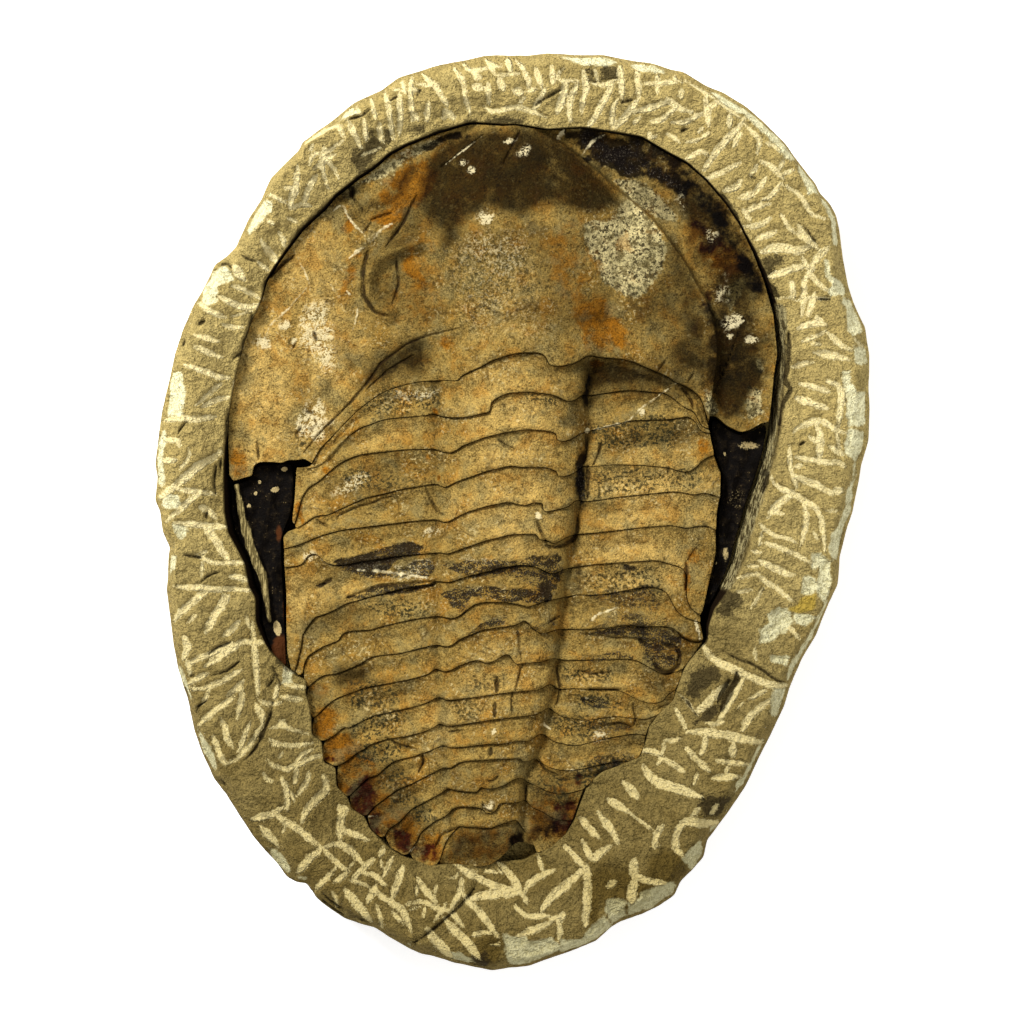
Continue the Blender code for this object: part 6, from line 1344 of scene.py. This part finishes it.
def shell_layers(x, y):
    """Stains, painted shade, cracks and pale veins of the shell, and how far each place is lifted or sunk.
    """
    wide, close = stir(x, y, 1.6), stir(x, y, 0.45)
    layers = {}
    for name, places in SHELL_STAINS.items():
        broad = [place for place in places if min(place[2:4]) >= 3]
        small = [place for place in places if min(place[2:4]) < 3]
        layers[name] = np.maximum(blots(*wide, broad), blots(*close, small))
    for name, areas in SHELL_AREAS.items():
        soft = 0.6 if name == "soot" else 3.2 if name == "olive_and_painted_shade" else 2.0
        for strength, *ring in areas:
            share = strength * ease(-soft, soft, depth_in(*close, [ring], True))
            layers[name] = np.maximum(layers[name], share)
    # Painted shade along the furrows beside the axis, stronger on the right one, added to the olive
    left, right = furrow_places(y)
    seam = 0.42 * np.exp(-(((x - right) / 1.9) ** 2)) + 0.3 * np.exp(-(((x - left) / 1.5) ** 2))
    layers["olive_and_painted_shade"] = np.maximum(layers["olive_and_painted_shade"], seam * ease(44, 36, y))
    layers["crack"] = depth_in(x, y, SHELL_CRACKS, False)
    layers["vein"] = depth_in(x, y, SHELL_VEINS, False)
    layers["flake"] = depth_in(x, y, SHELL_FLAKES, True)
    lift = 1.0 * ease(-0.35, 0.45, depth_in(x, y, RAISED_CHIPS, True))
    lift -= 0.75 * ease(-0.5, 0.3, layers["crack"]) + 0.3 * ease(-0.4, 0.4, layers["flake"])
    lift += 0.15 * ease(-0.3, 0.2, layers["vein"])
    lift -= 0.5 * np.minimum(layers["soot"], 1.0) * ease(0.2, 0.8, layers["soot"])
    return lift, layers


def cast_layers(x, y):
    """Stains of the spine casts, and the ridge beside the left one."""
    layers = {name: blots(x, y, places) for name, places in CAST_STAINS.items()}
    layers["ridge"] = depth_in(x, y, LEFT_RIDGE, False)
    return 2.4 * ease(-0.9, 0.5, layers["ridge"]), layers


def add_segments(material):
    """The sixteen segments of the thorax, each lying behind the one before."""
    for number in range(1, len(HIND_EDGES)):
        before, after = HIND_EDGES[number - 1], HIND_EDGES[number]
        left = soften(before[:1] + LEFT_ENDS[number - 1] + after[:1])
        right = soften(before[-1:] + RIGHT_ENDS[number - 1] + after[-1:])
        lines = (shift(hind_edge(number - 1), -GAP), shift(hind_edge(number), GAP),
                 shift(spread(left, SEGMENT_ROWS + 1), GAP), shift(spread(right, SEGMENT_ROWS + 1), -GAP))
        plate(f"thorax_segment_{number:02d}_shell", f"thorax_segment_{number:02d}",
              material, lines, segment_height, shell_layers)


def add_cephalon(material):
    """The head shield, from its rim back to its hind edge."""
    left, right = soften(CEPHALON_LEFT + HIND_EDGES[0][:1]), soften(CEPHALON_RIGHT)
    back = hind_edge(0)[:-1]
    hind = np.concatenate([spread(left, HEAD_COLUMNS[0])[:-1], back, spread(right, HEAD_COLUMNS[1])])
    rim = soften([(-80.4, 10.4)] + FOSSIL_OUTLINE[80:] + FOSSIL_OUTLINE[:15] + [(73.4, 28)])
    front = shift(spread(rim, len(hind)), -GAP)
    hind = shift(hind, 1.3 * GAP)
    ends = [spread(np.array([front[k], hind[k]]), HEAD_ROWS + 1) for k in (0, -1)]
    plate("cephalon_shell", "cephalon", material, (front, hind, *ends),
          lambda x, y, along: cephalon_height(x, y), shell_layers)


def add_spines(material):
    """The black casts of the cheek spines, in the hollows beside the thorax."""
    left_outer = [(-80, 6.4)] + FOSSIL_OUTLINE[70:79][::-1] + [(-65.2, -43.8)]
    right_outer = [(72.6, 22.9)] + FOSSIL_OUTLINE[17:25] + [(56.4, -26.2)]
    for node, inner, outer, sign in (
        ("genal_spine_left", LEFT_SPINE_INNER, left_outer, 1),
        ("genal_spine_right", RIGHT_SPINE_INNER, right_outer, -1),
    ):
        outer = shift(spread(soften(outer), 161), GAP * sign)
        inner = shift(spread(soften(inner), 161), -GAP * sign)
        ends = [spread(np.array([outer[k], inner[k]]), 37) for k in (0, -1)]
        plate(node + "_cast", node, material, (outer, inner, *ends),
              lambda x, y, along: spine_height(x, y), cast_layers)


def add_pygidium(material):
    """The tail shield, behind the last segment."""
    front = shift(spread(soften([(-20.9, -99.6)] + HIND_EDGES[-1][1:-1] + [(3.9, -91.2)]), 121), -2 * GAP)
    hind = shift(spread(soften(TAIL_HIND), 121), GAP)
    ends = [spread(np.array([front[k], hind[k]]), 41) for k in (0, -1)]
    plate("pygidium_shell", "pygidium", material, (front, hind, *ends),
          lambda x, y, along: tail_height(x, y), shell_layers)


def slab_rings():
    """Rings of the slab from the middle of its bed, out over the rim and under to the foot."""
    rings = [("bed", share) for share in (0.3, 0.7, 0.9, 1.0)]
    rings += [("wall", share) for share in (0.2, 0.4, 0.6, 0.8)]
    rings += [("border", share) for share in np.linspace(0, 1, 46)]
    rings += [("rim", share) for share in (0.2, 0.4, 0.6, 0.8, 1.0)]
    rings += [("side", share) for share in (0.15, 0.3, 0.45, 0.6, 0.75, 0.9, 1.0)]
    return rings + [("foot", 1.0), ("foot", 0.5)]


def slab_place(kind, share, angle):
    """Distance from the origin and height of one ring of the slab at each angle."""
    inner = outline_reach(FOSSIL_OUTLINE, angle) - by_angle(EDGE_LAPS, angle)
    outer = outline_reach(SLAB_OUTLINE, angle) + RIM_GROWTH
    wall = inner + by_angle(WALL_WIDTHS, angle)
    crest = outer - 4.0 * (1 + 0.3 * np.sin(5 * angle) + 0.2 * np.sin(11 * angle + 1))
    edge = by_angle(EDGE_HEIGHTS, angle)
    top = 31.8 + 2.2 * np.sin(angle) - 0.5 * np.cos(angle) + 0.4 * np.sin(7 * angle)
    low = np.minimum(bed_height(inner * np.cos(angle), inner * np.sin(angle)), 21) - BED_GAP
    foot = outer - FOOT_INSET + 3 * np.sin(5 * angle + 2)
    rim_low = top - 6.5 + 1.2 * np.sin(3 * angle + 1) + 0.8 * np.sin(8 * angle)
    if kind == "bed":
        reach = share * inner
        return reach, bed_height(reach * np.cos(angle), reach * np.sin(angle)) - BED_GAP
    if kind == "wall":
        return inner + share * (wall - inner), low + share * (edge - low)
    if kind == "border":
        return wall + share * (crest - wall), edge + (top - edge) * ease(0, 0.8, share)
    if kind == "rim":
        return crest + share * (outer - crest), top + (rim_low - top) * share ** 1.3
    if kind == "side":
        belly, waist = outer - 3.5 + 1.2 * np.sin(6 * angle), 13 + 2 * np.sin(4 * angle)
        if share < 0.6:
            return outer + (belly - outer) * share / 0.6, rim_low + (waist - rim_low) * share / 0.6
        down = (share - 0.6) / 0.6
        return belly + (foot - belly) * down ** 1.4, waist * (1 - down)
    return share * foot, np.zeros_like(angle)


def ring_mesh(name, sectors, rings):
    """A closed mesh of nested rings, every one of them a unit circle until its points are placed."""
    bm = bmesh.new()
    bmesh.ops.create_circle(bm, cap_ends=False, segments=sectors, radius=1.0)
    first = last = list(bm.edges)
    for _ in range(rings - 1):
        grown = bmesh.ops.extrude_edge_only(bm, edges=last)["geom"]
        last = [e for e in grown if isinstance(e, bmesh.types.BMEdge) and e.is_boundary]
    bmesh.ops.edgeloop_fill(bm, edges=first)
    bmesh.ops.edgeloop_fill(bm, edges=last)
    mesh = bpy.data.meshes.new(name)
    bm.to_mesh(mesh)
    bm.free()
    return mesh


def stone_layers(x, y, kinds):
    """Tool marks, facets, clefts and stains of the stone, and its painted shade, by distance in mm or by
    weight.
    """
    open_face = np.isin(kinds, ("border", "rim", "wall"))
    layers = {
        "mark": depth_in(x, y, TOOL_MARKS, False), "facet": depth_in(x, y, RIM_FACETS, True),
        "gap": depth_in(x, y, STONE_GAPS, False), "soot": depth_in(x, y, STONE_SOOT_AND_SHADE, True),
        "amber": depth_in(x, y, AMBER_PATCH, True),
    }
    layers = {name: np.where(open_face, depth, -2.5) for name, depth in layers.items()}
    middle, side, _ = nearest(soften(RIGHT_LEDGE, 2.0), x, y)
    layers["ledge"] = np.where(open_face & (x > 55), 1.7 - middle, -2.5)
    layers["strand"] = middle * side
    # Painted shade, growing towards the bottom of the stone, plus its darker places
    layers["painted_shade"] = 0.75 * ease(30, -105, y) + blots(x, y, STONE_SHADES)
    # Painted shade in the recess round the fossil: its wall and bed, where the wall is wide, but not beside
    # the right ledge
    width = by_angle(WALL_WIDTHS, np.arctan2(y, x))
    beside = ease(1.2, 2.4, middle + 20 * (x < 55)) * ease(0.1, 0.5, width)
    layers["painted_recess_shade"] = np.isin(kinds, ("bed", "wall")) * beside
    return layers


def add_slab(material):
    """The stone, a closed body whose top is hollowed to take the fossil."""
    rings = slab_rings()
    mesh = ring_mesh("matrix_stone", SLAB_SECTORS, len(rings))
    circle = read_points(mesh)
    ring = np.arange(len(circle)) // SLAB_SECTORS
    angle = np.arctan2(circle[:, 1], circle[:, 0])
    reach, z = np.zeros(len(circle)), np.zeros(len(circle))
    for index, (kind, share) in enumerate(rings):
        chosen = ring == index
        reach[chosen], z[chosen] = slab_place(kind, share, angle[chosen])
    x, y = reach * np.cos(angle), reach * np.sin(angle)
    kinds = np.array([kind for kind, _ in rings])[ring]
    layers = stone_layers(x, y, kinds)
    lip = (kinds == "rim") * ease(0.6, 1.0, np.array([share for _, share in rings])[ring])
    layers["facet"] -= lip * (1.4 + 1.8 * grain(x, y, 6, 33))
    z += np.isin(kinds, ("border", "rim")) * stone_relief(x, y, layers)
    z += (kinds == "side") * (z > 1) * 0.8 * grain(x + z, y - z, 5, 24)
    hewn = 1.3 * np.abs(grain(x + z, y - z, 13, 31)) + 0.9 * np.abs(grain(x - z, y + z, 5, 32))
    reach -= (kinds == "side") * hewn
    x, y = reach * np.cos(angle), reach * np.sin(angle)
    write_points(mesh, np.stack([x, y, z], axis=1))
    for name, values in layers.items():
        write_layer(mesh, name, values)
    add_piece(mesh, "matrix_stone", "matrix_slab", material)


def stone_relief(x, y, layers):
    """Lumps of the chiselled border, cut into by its tool marks, facets and clefts."""
    lumps = 0.6 * grain(x, y, 17, 21) - np.abs(grain(x, y, 6, 22)) - 0.7 * np.abs(grain(x, y, 2.6, 23))
    cuts = 0.7 * ease(-0.6, 0.3, layers["mark"]) + 1.3 * ease(-0.5, 0.3, layers["gap"])
    chips = 0.5 * ease(-0.6, 0.6, layers["facet"]) + 0.35 * np.clip(layers["facet"], 0, 2.5)
    striae = 0.5 * np.sin(5.2 * layers["strand"]) * ease(-0.5, 0.8, layers["ledge"])
    return lumps + 0.6 - cuts - chips + striae


def add_floor():
    """A plain pale table under the slab."""
    bm = bmesh.new()
    bmesh.ops.create_grid(bm, x_segments=1, y_segments=1, size=3.0)
    mesh = bpy.data.meshes.new("table")
    bm.to_mesh(mesh)
    bm.free()
    floor = bpy.data.objects.new("table", mesh)
    bpy.context.scene.collection.objects.link(floor)
    material = bpy.data.materials.new("table")
    material.use_nodes = True
    shader = material.node_tree.nodes["Principled BSDF"]
    shader.inputs["Base Color"].default_value = (0.9, 0.9, 0.9, 1)
    shader.inputs["Roughness"].default_value = 0.9
    shader.inputs["Emission Color"].default_value = (1, 1, 1, 1)
    shader.inputs["Emission Strength"].default_value = 0.55
    mesh.materials.append(material)


def add_light(name, place, size, power, aim=(0.0, 0.0, 0.02)):
    """A square soft light aimed at the fossil."""
    light = bpy.data.lights.new(name, "AREA")
    light.size = size
    light.energy = power
    lamp = bpy.data.objects.new(name, light)
    bpy.context.scene.collection.objects.link(lamp)
    lamp.location = place
    way = np.array(place) - np.array(aim)
    lamp.rotation_euler = Vector(way).to_track_quat("Z", "Y").to_euler()


def add_studio():
    """Soft light from the upper left, and the camera straight above."""
    add_light("key", (-0.75, 0.8, 1.0), 0.4, 31.0)
    add_light("fill", (0.9, -0.5, 1.0), 1.2, 6.0)
    world = bpy.data.worlds.new("studio")
    world.use_nodes = True
    world.node_tree.nodes["Background"].inputs["Color"].default_value = (1, 1, 1, 1)
    world.node_tree.nodes["Background"].inputs["Strength"].default_value = 0.45
    scene = bpy.context.scene
    scene.world = world
    scene.view_settings.view_transform = "Standard"
    lens = bpy.data.cameras.new("above")
    lens.lens = 135.0
    lens.sensor_width = 36.0
    camera = bpy.data.objects.new("above", lens)
    scene.collection.objects.link(camera)
    camera.location = (0, 0, 1.1188)
    scene.camera = camera


add_slab(stone_finish("limestone"))
add_cephalon(shell_finish("head_shell"))
add_spines(cast_finish("spine_cast"))
add_segments(shell_finish("thorax_shell", banded=True))
add_pygidium(shell_finish("tail_shell"))
add_floor()
add_studio()
